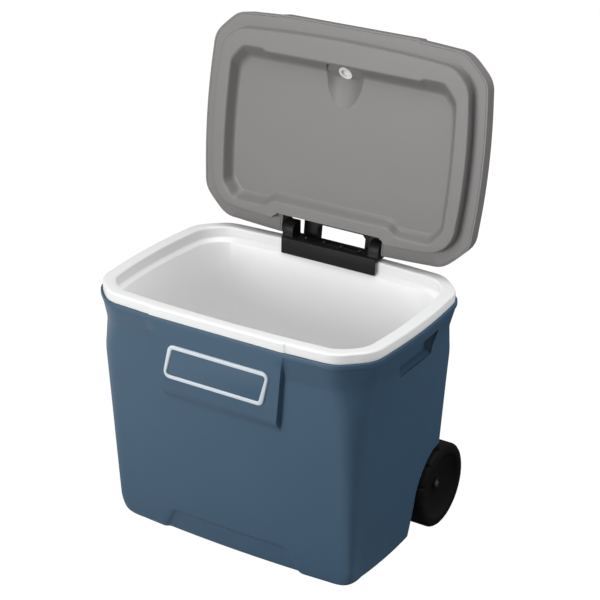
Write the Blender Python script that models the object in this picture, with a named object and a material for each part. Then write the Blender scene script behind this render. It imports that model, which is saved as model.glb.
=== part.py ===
# Wheeled cooler with an open hinged lid, a sliding tow handle and two wheels.
# Lengths are in metres, +Z is up and the long front wall faces -Y.
import math

import bmesh
import bpy
from mathutils import Matrix, Vector

# Floor and body heights
BASE_LIFT = 0.008
SHELL_TOP = 0.4452
RIM_RISE = 0.0176
RIM_TOP = SHELL_TOP + RIM_RISE

# Body plan at the top edge
TOP_HALF_X = 0.280
TOP_HALF_Y = 0.1978
TOP_CORNER_X = 0.0830
TOP_CORNER_Y = 0.0820
WAIST_CORNER_X = 0.0545
WAIST_CORNER_Y = 0.0400
WAIST_DROP = 0.1002
WAIST_Z = SHELL_TOP - WAIST_DROP
BULGE_X = 0.0057
BULGE_Y = 0.0070

# Body plan at the foot
FOOT_TAPER_X = 0.0400
FOOT_TAPER_Y = 0.0437
FOOT_HALF_X = TOP_HALF_X - FOOT_TAPER_X
FOOT_HALF_Y = TOP_HALF_Y - FOOT_TAPER_Y
FOOT_SHIFT_Y = 0.0037
FOOT_CORNER_X = 0.0280
FOOT_CORNER_Y = 0.0300
FOOT_ROUND = 0.011
CORNER_BEND = 0.0130
CORNER_PUFF = 0.0035
OFFSET_SHARE = 0.586

# Flared band under the top edge
FLARE_OUT = 0.0125
FLARE_TALL = 0.0492
FLARE_EASE = 0.0092
STRIP_TALL = 0.0057
FLARE_LOW = SHELL_TOP - FLARE_TALL
FLARE_HIGH = SHELL_TOP - FLARE_EASE
STRIP_STEP = 0.0012
STRIP_LOW = SHELL_TOP - STRIP_TALL

# Front panel
PANEL_TOP_SHARE = 0.46429
PANEL_FOOT_SHARE = 0.40357
PANEL_TALL = 0.1332
PANEL_FADE = 0.0190
PANEL_IN_TOP = 0.0034
PANEL_IN_FOOT = 0.0110
PANEL_HALF_TOP = TOP_HALF_X * PANEL_TOP_SHARE
PANEL_HALF_FOOT = TOP_HALF_X * PANEL_FOOT_SHARE
PANEL_Z_FOOT = SHELL_TOP - PANEL_TALL
PANEL_FADE_LOW = PANEL_Z_FOOT - PANEL_FADE
PANEL_Y_TOP = TOP_HALF_Y - PANEL_IN_TOP
PANEL_Y_FOOT = TOP_HALF_Y - PANEL_IN_FOOT
PANEL_EDGE = 0.0035

# Toe recess at the front foot
TOE_TOP_SHARE = 0.45474
TOE_FOOT_SHARE = 0.56421
TOE_HALF_TOP = FOOT_HALF_X * TOE_TOP_SHARE
TOE_HALF_FOOT = FOOT_HALF_X * TOE_FOOT_SHARE
TOE_Z_TOP = 0.060
TOE_Z_LEVEL = 0.049
TOE_DEPTH = 0.0055

# Rear panel behind the tow handle
REAR_HALF = 0.094
REAR_Z_LOW = 0.030
REAR_DROP = 0.0412
REAR_Z_HIGH = SHELL_TOP - REAR_DROP
REAR_FADE = 0.012
REAR_EDGE = 0.004

# Shell, foam and inner tub
SHELL_WALL = 0.0032
FOAM_GAP = 0.0003
PART_GAP = 0.0003
TUB_WALL = 0.0025
TUB_FLOOR = 0.094
TUB_TAPER_X = 0.096
TUB_TAPER_Y = 0.0788
TUB_FOOT_HALF_X = TOP_HALF_X - TUB_TAPER_X
TUB_FOOT_HALF_Y = TOP_HALF_Y - TUB_TAPER_Y
TUB_FOOT_CORNER = 0.034
TUB_FOOT_ROUND = 0.018
TUB_MOUTH_INSET = 0.0290
SEAT_INSET = 0.0258
SEAT_DEEP = 0.0195
SEAT_SLOPE = 0.0065
RIM_INSET = 0.0036
RIM_ROUND = 0.0035
RIM_LIP = 0.0028
RIM_FLAT_IN = 0.0050
NECK_TALL = 0.0040
NECK_INSET = 0.0085

# Side hand grips
GRIP_Y = 0.004
GRIP_HALF_TOP = 0.064
GRIP_HALF_FOOT = 0.055
GRIP_DROP = 0.0237
GRIP_TALL = 0.0425
GRIP_Z_TOP = SHELL_TOP - GRIP_DROP
GRIP_Z_FOOT = GRIP_Z_TOP - GRIP_TALL
GRIP_DEPTH = 0.027
GRIP_RISE = 0.006
GRIP_INNER_IN = 0.004
GRIP_MID_SHARE = 0.62
GRIP_SOFT = 0.004

# Wheels, axle and their pockets
WHEEL_R = 0.0775
WHEEL_WIDE = 0.044
WHEEL_TUCK = 0.0235
WHEEL_IN_Y = 0.0513
WHEEL_OUT_X = TOP_HALF_X - WHEEL_TUCK
WHEEL_Y = TOP_HALF_Y - WHEEL_IN_Y
WHEEL_CLEAR = 0.0055
WHEEL_SIDE_CLEAR = 0.004
POCKET_FRONT_RUN = 0.014
POCKET_PAST = 0.030
AXLE_R = 0.0060
AXLE_SLOT_HALF = 0.0085
AXLE_END_PAST = 0.0045

# Lid in its closed place
LID_OUT_GAP = 0.0034
LID_CORNER_X = 0.0775
LID_CORNER_Y = 0.0750
LID_BEND = 0.0090
LID_PUFF = 0.0042
PLUG_PUFF = 0.0025
LIP_GAP = 0.0005
LID_TALL = 0.0352
LID_DRAFT = 0.0025
LID_TOP_ROUND = 0.009
LID_CROWN = 0.0012
LID_WALL = 0.0030
PLUG_FIT = 0.0014
PLUG_INSET = SEAT_INSET - LID_OUT_GAP + PLUG_FIT
PLUG_DRAFT = 0.0016
PLUG_DEEP = 0.0171
PLUG_SOFT = 0.0020
LID_TAB_SHARE = 0.47321
LID_TAB_HALF = TOP_HALF_X * LID_TAB_SHARE
LID_FLAT_IN = 0.0010
LID_CROWN_IN = 0.060
PAN_SIDE = 0.0506
PAN_FRONT = 0.0620
PAN_REAR = 0.0470
PAN_CORNER_X = 0.0360
PAN_CORNER_Y = 0.0360
PAN_BEND = 0.0080
PAN_DEEP = 0.0190
PAN_DRAFT = 0.0095
PAN_LEAN = 0.0050
PAN_FLOOR_CORNER = 0.0300
PAN_EASE_SHARE = 0.9
PAN_WALL = 0.0024
PAN_BULGE_X = 0.0035
PAN_BULGE_Y = 0.0010
PAN_FRONT_STEP = 0.0045
PAN_FRONT_SHARE = 0.53571
PAN_FRONT_HALF = TOP_HALF_X * PAN_FRONT_SHARE
PAN_FRONT_RUN = 0.010
PAN_REAR_STEP = 0.0130
PAN_REAR_SHARE = 0.4
PAN_REAR_HALF = TOP_HALF_X * PAN_REAR_SHARE
PAN_REAR_RUN = 0.026
RELIEF_RISE = 0.0034
RELIEF_RUN = 0.003
DIMPLE_START = 0.0020
DIMPLE_TURN = 0.0260
DIMPLE_HALF = 0.0370
DIMPLE_HEAD_HALF = 0.0300
DIMPLE_SECTION_POWER = 2.6
DIMPLE_STEPS = 12
DIMPLE_TAIL = ((0.0460, 0.0325, 0.62), (0.0640, 0.0230, 0.28), (0.0750, 0.0110, 0.04))
FILL_R = 0.0130
FILL_BACK = 0.0152
FILL_UP = 0.0011
FILL_TILT_DEG = 36.0
FILL_DEEP = 0.009
FILL_PROUD = 0.0015
LID_ANGLE_DEG = 96.98

# Hinge
AXIS_IN = 0.01125
AXIS_RISE = 0.0160
AXIS_Y = TOP_HALF_Y - AXIS_IN
AXIS_Z = RIM_TOP + AXIS_RISE
NOTCH_HALF = 0.1015
NOTCH_DEEP = 0.0362
PLUG_NOTCH_OUT = 0.0065
PLUG_NOTCH_HALF = NOTCH_HALF + PLUG_NOTCH_OUT
PLUG_NOTCH_FLARE = 0.014
PLUG_NOTCH_DEEP = 0.0368
LEAF_IN = 0.0055
LEAF_HALF = NOTCH_HALF - LEAF_IN
LEAF_FRONT_IN = 0.0375
LEAF_REAR_IN = 0.0016
LEAF_RISE = 0.0074
LEAF_DROP = 0.0055
LEAF_FRONT_Y = TOP_HALF_Y - LEAF_FRONT_IN
LEAF_REAR_Y = TOP_HALF_Y - LEAF_REAR_IN
LEAF_THICK = 0.0036
LEAF_SOFT = 0.0015
LEAF_TOP = RIM_TOP + LEAF_RISE
LEAF_FOOT = SHELL_TOP - LEAF_DROP
LUG_GAP = 0.0035
LUG_WIDE = 0.0210
LUG_OUT = NOTCH_HALF - LUG_GAP
LUG_IN = LUG_OUT - LUG_WIDE
LUG_R = 0.0185
LUG_REAR = 0.0095
PIN_R = 0.0030
PIN_FIT = 0.0003
PIN_INSET = 0.0030
PIN_LONG = 0.0300

# Tow handle, built upright and then leaned back like the open lid
TOW_X = 0.0642
TOW_OUT = 0.0187
TOW_RISE = 0.0122
TOW_Y = TOP_HALF_Y + TOW_OUT
TOW_Z = RIM_TOP + TOW_RISE
TOW_LEAN_DEG = 6.98
ARM_HALF_X = 0.0155
ARM_HALF_Y = 0.0080
ARM_LOW = -0.042
BAR_LOW = 0.012
BAR_HIGH = 0.034
GRIP_ROUND = 0.0045
TUBE_R = 0.0066
TUBE_WALL = 0.0012
TUBE_FOOT_UP = 0.075
TUBE_FOOT = TUBE_FOOT_UP - TOW_Z
SLEEVE_R = 0.0084
SLEEVE_TOP = -0.046
SLEEVE_FOOT_UP = 0.063
SLEEVE_FOOT = SLEEVE_FOOT_UP - TOW_Z
CLAMP_HALF_X = 0.0270
CLAMP_TALL = 0.030
CLAMP_TOP_Z = -0.080
CLAMP_FOOT_UP = 0.130
CLAMP_FOOT_Z = CLAMP_FOOT_UP - TOW_Z
CLAMP_FLANGE = 0.0050
CLAMP_RING = 0.0032
REAR_FACE_IN = 0.0118

# Small parts
SCREW_HEAD_R = 0.0038
SCREW_HEAD_TALL = 0.0022
SCREW_R = 0.0020
SCREW_LONG = 0.016
HEAD_FLAT_SHARE = 0.72
HEAD_EDGE_SHARE = 0.45
LEAF_SCREW_IN = 0.0183
LEAF_SCREW_Y = TOP_HALF_Y - LEAF_SCREW_IN
LEAF_SCREW_SHARES = (-0.573, -0.1875, 0.1875, 0.573)
LEAF_SCREW_XS = tuple(LEAF_HALF * share for share in LEAF_SCREW_SHARES)
UNDER_HIGH = 0.0300
# Name plate
PLATE_SHARE = 0.35
PLATE_HALF_X = TOP_HALF_X * PLATE_SHARE
PLATE_HALF_Z = 0.0318
PLATE_DROP = 0.0750
PLATE_Z = SHELL_TOP - PLATE_DROP
PLATE_SLANT = 0.0080
PLATE_CORNER = 0.0110
PLATE_BAND = 0.0060
PLATE_PROUD = 0.0036
PLATE_THICK = 0.0016
PLATE_SOFT = 0.0010
BAND_EASE_SHARE = 0.18

# Wheel details
WHEEL_FIT = 0.0005
HUB_SINK = 0.0150
HUB_R = 0.0150
HUB_BACK = 0.0020
DISH_DEEP = 0.0165
DISH_STEP = 0.0030
DISH_MID_SHARE = 0.72
DISH_R = 0.0610
SHOULDER = 0.0070
TREAD_DEEP = 0.0010
TREAD_EVERY = 3
WHEEL_STEPS = 36
NUT_TALL = 0.0035
NUT_RING = 0.0045
WASHER_RING = 0.0060
WASHER_THICK = 0.0014
CLIP_XS = (-0.130, 0.0, 0.130)
CLIP_HALF = 0.012

# Tow handle details
CLAMP_GAP = 0.0004
CLAMP_SOFT = 0.0012
CLAMP_SCREW_X = 0.0205
GAP_SOFT = 0.006
TUBE_GRIP = 0.030
SLIDE_FIT = 0.0004
SLEEVE_BASE = 0.003

# Foot bar under the front of the base
FOOT_BAR_IN_X = 0.0650
FOOT_BAR_IN_Y = 0.0691
FOOT_BAR_HALF = FOOT_HALF_X - FOOT_BAR_IN_X
FOOT_BAR_Y = FOOT_BAR_IN_Y - FOOT_HALF_Y
FOOT_BAR_WIDE = 0.030
FOOT_BAR_SOFT = 0.0012

# Drain in the left wall
DRAIN_Y = -0.020
DRAIN_Z = 0.121
DRAIN_R = 0.0100
DRAIN_BORE = 0.0070
DRAIN_FLANGE = 0.0150
DRAIN_LIP_R = 0.0125
DRAIN_LIP_SEAT = 0.0046
DRAIN_THICK = 0.0020
DRAIN_NUT = 0.0050
DRAIN_PAST = 0.0010
DRAIN_SEAT = 0.0018
DRAIN_SOFT = 0.0010
DRAIN_CAP = 0.0050
DRAIN_PLUG_LONG = 0.0120
DRAIN_REACH = 0.015
SEAM_GAP = 0.0006
SEAM_PAST = 0.0010
FILL_SOFT = 0.0006
FILL_RING = 0.0032
FILL_DISH = 0.0012
CUT_OVER = 0.002
WELD = 0.00002
SLIVER = 0.00001
TOLERANCE = 0.000000001
ROUND_STEPS = 24
SMALL_STEPS = 8
MID_STEPS = 16
SIDE_STEPS = 4


def clear_scene():
    for item in list(bpy.data.objects):
        bpy.data.objects.remove(item, do_unlink=True)


def make_material(name, colour, roughness, metallic=0.0):
    material = bpy.data.materials.new(name)
    material.use_nodes = True
    shader = material.node_tree.nodes["Principled BSDF"]
    shader.inputs["Base Color"].default_value = (*colour, 1.0)
    shader.inputs["Roughness"].default_value = roughness
    shader.inputs["Metallic"].default_value = metallic
    return material


def mix(low, high, share):
    return low + (high - low) * share


def object_from(bm, name):
    bmesh.ops.recalc_face_normals(bm, faces=bm.faces)
    mesh = bpy.data.meshes.new(name)
    bm.to_mesh(mesh)
    bm.free()
    item = bpy.data.objects.new(name, mesh)
    bpy.context.collection.objects.link(item)
    return item


def loft(name, rings, closed=False):
    """Skin a list of equal rings and close both ends."""
    bm = bmesh.new()
    rows = []
    for ring in rings:
        rows.append([bm.verts.new(point) for point in ring])
    count = len(rows[0])
    pairs = list(zip(rows[:-1], rows[1:]))
    if closed:
        pairs.append((rows[-1], rows[0]))
    for low, high in pairs:
        for i in range(count):
            j = (i + 1) % count
            bm.faces.new((low[i], low[j], high[j], high[i]))
    if not closed:
        bm.faces.new(list(reversed(rows[0])))
        bm.faces.new(rows[-1])
    return object_from(bm, name)


def prism_x(name, outline, x_low, x_high):
    """A prism along X from a (y, z) outline."""
    rings = [[(x, y, z) for y, z in outline] for x in (x_low, x_high)]
    return loft(name, rings)


def prism_y(name, outline, y_low, y_high):
    rings = [[(x, y, z) for x, z in outline] for y in (y_low, y_high)]
    return loft(name, rings)


def prism_z(name, outline, z_low, z_high):
    rings = [[(x, y, z) for x, y in outline] for z in (z_low, z_high)]
    return loft(name, rings)


def box(name, low, high):
    outline = [(low[1], low[2]), (high[1], low[2]), (high[1], high[2]), (low[1], high[2])]
    return prism_x(name, outline, low[0], high[0])


def circle(centre_a, centre_b, radius, steps=ROUND_STEPS):
    turn = 2.0 * math.pi / steps
    return [
        (centre_a + radius * math.cos(i * turn), centre_b + radius * math.sin(i * turn))
        for i in range(steps)
    ]


def rod_x(name, y, z, radius, x_low, x_high, steps=ROUND_STEPS):
    return prism_x(name, circle(y, z, radius, steps), x_low, x_high)


def rod_y(name, x, z, radius, y_low, y_high, steps=ROUND_STEPS):
    return prism_y(name, circle(x, z, radius, steps), y_low, y_high)


def rod_z(name, x, y, radius, z_low, z_high, steps=ROUND_STEPS):
    return prism_z(name, circle(x, y, radius, steps), z_low, z_high)


def turned_x(name, profile, y, z, steps=ROUND_STEPS):
    """Turn an (x, radius) profile loop round the line through (y, z)."""
    rings = []
    for i in range(steps):
        angle = 2.0 * math.pi * i / steps
        rings.append([(x, y + r * math.cos(angle), z + r * math.sin(angle)) for x, r in profile])
    return loft(name, rings, closed=True)


def boolean(target, tool, operation):
    modifier = target.modifiers.new("shape", "BOOLEAN")
    modifier.operation = operation
    modifier.solver = "EXACT"
    modifier.object = tool
    bpy.context.view_layer.objects.active = target
    bpy.ops.object.modifier_apply(modifier=modifier.name)
    bpy.data.objects.remove(tool, do_unlink=True)
    return target


def cut(target, *tools):
    for tool in tools:
        boolean(target, tool, "DIFFERENCE")
    return target


def fuse(target, *tools):
    for tool in tools:
        boolean(target, tool, "UNION")
    return target


def named(items, names):
    """Give each piece of a set its own name."""
    for item, name in zip(items, names):
        item.name = name
    return items


def both_sides(stem):
    return (stem + "_left", stem + "_right")


def move_mesh(item, matrix):
    item.data.transform(matrix)
    return item


def bevel(item, width, segments=2, angle_deg=40.0):
    modifier = item.modifiers.new("round", "BEVEL")
    modifier.width = width
    modifier.segments = segments
    modifier.limit_method = "ANGLE"
    modifier.angle_limit = math.radians(angle_deg)
    bpy.context.view_layer.objects.active = item
    bpy.ops.object.modifier_apply(modifier=modifier.name)
    return item


def finish(item, material, origin=None, smooth_deg=32.0):
    """Weld, triangulate, shade and set the origin of a finished piece."""
    bm = bmesh.new()
    bm.from_mesh(item.data)
    bmesh.ops.remove_doubles(bm, verts=bm.verts, dist=WELD)
    bmesh.ops.dissolve_degenerate(bm, edges=bm.edges, dist=SLIVER)
    bmesh.ops.triangulate(bm, faces=bm.faces)
    bmesh.ops.recalc_face_normals(bm, faces=bm.faces)
    bm.to_mesh(item.data)
    bm.free()
    item.data.materials.clear()
    item.data.materials.append(material)
    if origin is not None:
        item.data.transform(Matrix.Translation(-Vector(origin)))
        item.location = origin
    bpy.ops.object.select_all(action="DESELECT")
    item.select_set(True)
    bpy.context.view_layer.objects.active = item
    bpy.ops.object.shade_smooth_by_angle(angle=math.radians(smooth_deg))
    return item


def plan(half_x, half_y, corner_x, corner_y, z, shift_y=0.0, bulge_x=BULGE_X, bulge_y=BULGE_Y,
         front=None, rear=None, bend=CORNER_BEND, puff=CORNER_PUFF):
    """One plan outline with bulged sides and chamfered corners.

    front and rear are (half, edge, out) for a raised or sunk middle panel.
    """
    run_x = half_x - corner_x
    run_y = half_y - corner_y

    def panel_side(panel, side_y):
        if panel is None:
            stations = [mix(-run_x, run_x, i / 6) for i in range(7)]
            return [(x, side_y - bulge_y * (x / run_x) ** 2) for x in stations]
        half, edge, out = panel
        stations = [-run_x, -half - edge, -half, 0.0, half, half + edge, run_x]
        points = []
        for x in stations:
            wall = side_y - bulge_y * (x / run_x) ** 2
            inside = abs(x) <= half + TOLERANCE
            points.append((x, wall + out(x, wall) if inside else wall))
        return points

    front_line = [(x, -y) for x, y in panel_side(front, half_y)]
    rear_line = [(-x, y) for x, y in panel_side(rear, half_y)]
    ys = [mix(-run_y, run_y, i / SIDE_STEPS) for i in range(SIDE_STEPS + 1)]
    right_line = [(half_x - bulge_x * (y / run_y) ** 2, y) for y in ys]
    left_line = [(-x, -y) for x, y in right_line]

    def join(line_a, line_b):
        """Chamfered corner with a rounded bend at each end and a slightly puffed face."""
        a, b = Vector(line_a[-1]), Vector(line_b[0])
        turn_a = a + (a - Vector(line_a[-2])).normalized() * bend
        turn_b = b - (Vector(line_b[1]) - b).normalized() * bend
        face = (turn_b - turn_a).normalized()
        bend_a = a.lerp(turn_a, 0.5).lerp(turn_a.lerp(turn_a + face * bend, 0.5), 0.5)
        bend_b = b.lerp(turn_b, 0.5).lerp(turn_b.lerp(turn_b - face * bend, 0.5), 0.5)
        middle = turn_a.lerp(turn_b, 0.5) + Vector((face.y, -face.x)) * puff
        return [tuple(point) for point in (bend_a, middle, bend_b)]

    points = front_line + join(front_line, right_line) + right_line + join(right_line, rear_line)
    points += rear_line + join(rear_line, left_line) + left_line + join(left_line, front_line)
    return [(x, y + shift_y, z) for x, y in points]


# Heights of the outer body
def wall_share(z):
    return min(1.0, max(0.0, (z - BASE_LIFT) / (FLARE_LOW - BASE_LIFT)))


def broken_line(z, marks):
    """Value at z on a line through (height, value) marks."""
    if z <= marks[0][0]:
        return marks[0][1]
    for (z_a, a), (z_b, b) in zip(marks[:-1], marks[1:]):
        if z <= z_b:
            return mix(a, b, (z - z_a) / (z_b - z_a))
    return marks[-1][1]


def tow_line_y(z):
    return TOW_Y + (z - TOW_Z) * math.tan(math.radians(TOW_LEAN_DEG))


def body_ring(z, inset, extra=0.0, level=None):
    """Body outline at height z; inset runs inward, extra is added at the foot."""
    z_at = z if level is None else level
    share = wall_share(z_at)
    total = inset + extra
    half_x = mix(FOOT_HALF_X, TOP_HALF_X - FLARE_OUT, share)
    half_y = mix(FOOT_HALF_Y, TOP_HALF_Y - FLARE_OUT, share)
    flare = broken_line(z_at, [(FLARE_LOW, 0.0), (FLARE_HIGH, FLARE_OUT - STRIP_STEP),
                               (FLARE_HIGH + STRIP_STEP, FLARE_OUT - STRIP_STEP),
                               (STRIP_LOW, FLARE_OUT)])
    half_x += flare - total
    half_y += flare - total
    corner_x = broken_line(z_at, [(BASE_LIFT, FOOT_CORNER_X), (WAIST_Z, WAIST_CORNER_X),
                                  (FLARE_HIGH, TOP_CORNER_X)]) - OFFSET_SHARE * total
    corner_y = broken_line(z_at, [(BASE_LIFT, FOOT_CORNER_Y), (WAIST_Z, WAIST_CORNER_Y),
                                  (FLARE_HIGH, TOP_CORNER_Y)]) - OFFSET_SHARE * total
    shift = FOOT_SHIFT_Y * (1.0 - share)
    front_half = broken_line(z_at, [(BASE_LIFT, TOE_HALF_FOOT), (TOE_Z_TOP, TOE_HALF_TOP),
                                    (PANEL_FADE_LOW, PANEL_HALF_FOOT),
                                    (SHELL_TOP, PANEL_HALF_TOP)])
    front_y = broken_line(z_at, [(PANEL_Z_FOOT, PANEL_Y_FOOT), (FLARE_HIGH, PANEL_Y_TOP)])
    panel_on = broken_line(z_at, [(PANEL_FADE_LOW, 0.0), (PANEL_Z_FOOT, 1.0)])
    toe_on = broken_line(z_at, [(TOE_Z_LEVEL, 1.0), (TOE_Z_TOP, 0.0)])
    rear_on = broken_line(z_at, [(REAR_Z_LOW, 0.0), (REAR_Z_LOW + REAR_FADE, 1.0),
                                 (REAR_Z_HIGH, 1.0), (REAR_Z_HIGH + REAR_FADE, 0.0)])
    rear_y = tow_line_y(z_at) - REAR_FACE_IN

    def front_out(x, wall):
        return panel_on * (front_y + shift - total - wall) - toe_on * TOE_DEPTH

    def rear_out(x, wall):
        return rear_on * (rear_y - shift - total - wall)

    return plan(half_x, half_y, corner_x, corner_y, z, shift,
                front=(front_half, PANEL_EDGE, front_out),
                rear=(REAR_HALF, REAR_EDGE, rear_out))


def body_rings(inset, z_low, z_high, neck=None):
    """Rings of the body from the rounded foot to the top edge."""
    rings = []
    round_r = FOOT_ROUND - inset * 0.5
    for i in range(3):
        angle = math.radians(45.0 * i)
        level = z_low + round_r * (1.0 - math.cos(angle))
        rings.append(body_ring(level, inset, round_r * (1.0 - math.sin(angle)), level))
    levels = [REAR_Z_LOW, REAR_Z_LOW + REAR_FADE, TOE_Z_LEVEL, TOE_Z_TOP,
              PANEL_FADE_LOW, PANEL_Z_FOOT, WAIST_Z, FLARE_LOW, REAR_Z_HIGH, REAR_Z_HIGH + REAR_FADE, FLARE_HIGH,
              FLARE_HIGH + STRIP_STEP, STRIP_LOW]
    rings += [body_ring(z, inset) for z in levels]
    if neck is None:
        rings.append(body_ring(z_high, inset))
        return rings
    neck_low, neck_inset = neck
    rings.append(body_ring(neck_low, inset))
    rings.append(body_ring(neck_low, neck_inset))
    rings.append(body_ring(z_high, neck_inset, 0.0, SHELL_TOP))
    return rings


def wheel_pocket(side, grow):
    """Cutter for one wheel pocket, open to the side, the rear and below."""
    radius = WHEEL_R + WHEEL_CLEAR + grow
    outline = []
    for i in range(13):
        angle = math.radians(180.0 - 12.5 * i)
        outline.append((WHEEL_Y + radius * math.cos(angle), WHEEL_R + radius * math.sin(angle)))
    past = outline[-1]
    outline.append((past[0] + POCKET_PAST, past[1]))
    outline.append((past[0] + POCKET_PAST, BASE_LIFT - POCKET_PAST))
    outline.append((WHEEL_Y - radius - POCKET_FRONT_RUN, BASE_LIFT - CUT_OVER))
    inner = WHEEL_OUT_X - WHEEL_WIDE - WHEEL_SIDE_CLEAR - grow
    outer = TOP_HALF_X + POCKET_PAST
    if side > 0:
        return prism_x("pocket", outline, inner, outer)
    return prism_x("pocket", outline, -outer, -inner)


def grip_pocket(side, grow):
    """Cutter for one side hand grip; the back end rises behind the flare."""
    rings = []
    inner = TOP_HALF_X - GRIP_DEPTH - grow
    stages = [(inner, GRIP_RISE, -GRIP_INNER_IN), (TOP_HALF_X - GRIP_DEPTH * GRIP_MID_SHARE, 0.0, 0.0),
              (TOP_HALF_X + CUT_OVER * 4, 0.0, 0.0)]
    for x, rise, out in stages:
        top = GRIP_HALF_TOP + grow + out
        foot = GRIP_HALF_FOOT + grow + out
        z_top = GRIP_Z_TOP + grow + rise
        z_foot = GRIP_Z_FOOT - grow + rise
        soft = GRIP_SOFT
        outline = [(-foot, z_foot + soft), (-foot + soft, z_foot), (foot - soft, z_foot),
                   (foot, z_foot + soft), (top, z_top - soft), (top - soft, z_top),
                   (-top + soft, z_top), (-top, z_top - soft)]
        rings.append([(side * x, y + GRIP_Y, z) for y, z in outline])
    return loft("grip", rings)


def axle_slot(grow):
    low = BASE_LIFT - CUT_OVER
    half = AXLE_SLOT_HALF + grow
    outline = [(WHEEL_Y - half, low), (WHEEL_Y + half, low)]
    for i in range(13):
        angle = math.radians(15.0 * i)
        outline.append((WHEEL_Y + half * math.cos(angle), WHEEL_R + half * math.sin(angle)))
    reach = WHEEL_OUT_X - WHEEL_WIDE
    return prism_x("slot", outline, -reach, reach)


def tub_seat_levels():
    """Foot and head of the slope that widens the tub to the straight seat of the plug."""
    return RIM_TOP - SEAT_DEEP - SEAT_SLOPE, RIM_TOP - SEAT_DEEP


def tub_ring(z, grow, foot_in=0.0):
    """Outline of the inner tub at height z, grown outward by grow."""
    share = (z - TUB_FLOOR) / (RIM_TOP - TUB_FLOOR)
    low, high = tub_seat_levels()
    seat = broken_line(z, [(low, 0.0), (high, 1.0)])
    half_x = mix(TUB_FOOT_HALF_X, TOP_HALF_X - TUB_MOUTH_INSET, share)
    half_y = mix(TUB_FOOT_HALF_Y, TOP_HALF_Y - TUB_MOUTH_INSET, share)
    half_x = mix(half_x, TOP_HALF_X - SEAT_INSET, seat) + grow - foot_in
    half_y = mix(half_y, TOP_HALF_Y - SEAT_INSET, seat) + grow - foot_in
    corner_x = mix(TUB_FOOT_CORNER, TOP_CORNER_X - OFFSET_SHARE * TUB_MOUTH_INSET, share)
    corner_y = mix(TUB_FOOT_CORNER, TOP_CORNER_Y - OFFSET_SHARE * TUB_MOUTH_INSET, share)
    return plan(half_x, half_y, corner_x + OFFSET_SHARE * grow, corner_y + OFFSET_SHARE * grow, z)


def rim_ring(z, inset):
    """Outline of the white rim; it follows the flat front panel."""
    half_y = TOP_HALF_Y - inset

    def out(x, wall):
        return TOP_HALF_Y - RIM_FLAT_IN - (inset - RIM_INSET) - wall

    return plan(TOP_HALF_X - inset, half_y, TOP_CORNER_X - OFFSET_SHARE * inset,
                TOP_CORNER_Y - OFFSET_SHARE * inset, z,
                front=(PANEL_HALF_TOP, PANEL_EDGE, out))


def rounded_foot(low, radius, ring, steps=3):
    """Rings of a rounded tub foot from the flat floor up to its wall."""
    rings = []
    for i in range(steps + 1):
        angle = math.radians(90.0 * i / steps)
        rings.append(ring(low + radius * (1.0 - math.cos(angle)), radius * (1.0 - math.sin(angle))))
    return rings


def build_tub_outer(grow, z_top):
    low = TUB_FLOOR - TUB_WALL - grow
    rings = rounded_foot(low, TUB_FOOT_ROUND, lambda z, cut_in: tub_ring(z, TUB_WALL + grow, cut_in))
    rings += [tub_ring(z, TUB_WALL + grow) for z in tub_seat_levels()]
    rings.append(tub_ring(z_top, TUB_WALL + grow))
    return rings


def build_body():
    shell = loft("body_shell", body_rings(0.0, BASE_LIFT, SHELL_TOP))
    cut(shell, wheel_pocket(1, 0.0), wheel_pocket(-1, 0.0), grip_pocket(1, 0.0),
        grip_pocket(-1, 0.0), axle_slot(0.0))
    neck = (SHELL_TOP - NECK_TALL, NECK_INSET)
    hollow = loft("hollow", body_rings(SHELL_WALL, BASE_LIFT + SHELL_WALL,
                                       SHELL_TOP + CUT_OVER, neck))
    cut(hollow, wheel_pocket(1, SHELL_WALL), wheel_pocket(-1, SHELL_WALL),
        grip_pocket(1, SHELL_WALL), grip_pocket(-1, SHELL_WALL), axle_slot(SHELL_WALL))
    cut(shell, hollow)

    grow = SHELL_WALL + FOAM_GAP
    foam_neck = (SHELL_TOP - NECK_TALL - FOAM_GAP, NECK_INSET + FOAM_GAP)
    foam = loft("body_foam", body_rings(grow, BASE_LIFT + grow, RIM_TOP - RIM_LIP - FOAM_GAP,
                                        foam_neck))
    cut(foam, wheel_pocket(1, grow), wheel_pocket(-1, grow), grip_pocket(1, grow),
        grip_pocket(-1, grow), axle_slot(grow))
    tub_space = loft("tub", build_tub_outer(FOAM_GAP, RIM_TOP + CUT_OVER))
    cut(foam, tub_space)

    rings = build_tub_outer(0.0, RIM_TOP - RIM_LIP)
    rings.append(rim_ring(RIM_TOP - RIM_LIP, RIM_INSET + RIM_LIP))
    rings.append(rim_ring(SHELL_TOP + PART_GAP, RIM_INSET + RIM_LIP))
    rings.append(rim_ring(SHELL_TOP + PART_GAP, RIM_INSET))
    for i in range(3):
        angle = math.radians(45.0 * i)
        rings.append(rim_ring(RIM_TOP - RIM_ROUND * (1.0 - math.sin(angle)),
                              RIM_INSET + RIM_ROUND * (1.0 - math.cos(angle))))
    inner_edge = []
    for i in range(3):
        angle = math.radians(90.0 - 45.0 * i)
        z = RIM_TOP - RIM_ROUND * (1.0 - math.sin(angle))
        inner_edge.append(tub_ring(z, RIM_ROUND * (1.0 - math.cos(angle))))
    rings += inner_edge
    rings += [tub_ring(z, 0.0) for z in reversed(tub_seat_levels())]
    foot = rounded_foot(TUB_FLOOR, TUB_FOOT_ROUND - TUB_WALL, lambda z, cut_in: tub_ring(z, 0.0, cut_in))
    rings += list(reversed(foot))
    liner = loft("body_liner", rings)
    return shell, foam, liner


# Lid, modelled closed and then turned open about its hinge line
LIP_Z = RIM_TOP + LIP_GAP
LID_HALF_X = TOP_HALF_X - LID_OUT_GAP
LID_HALF_Y = TOP_HALF_Y - LID_OUT_GAP
PLATEAU_Z = LIP_Z - PLUG_DEEP


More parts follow.
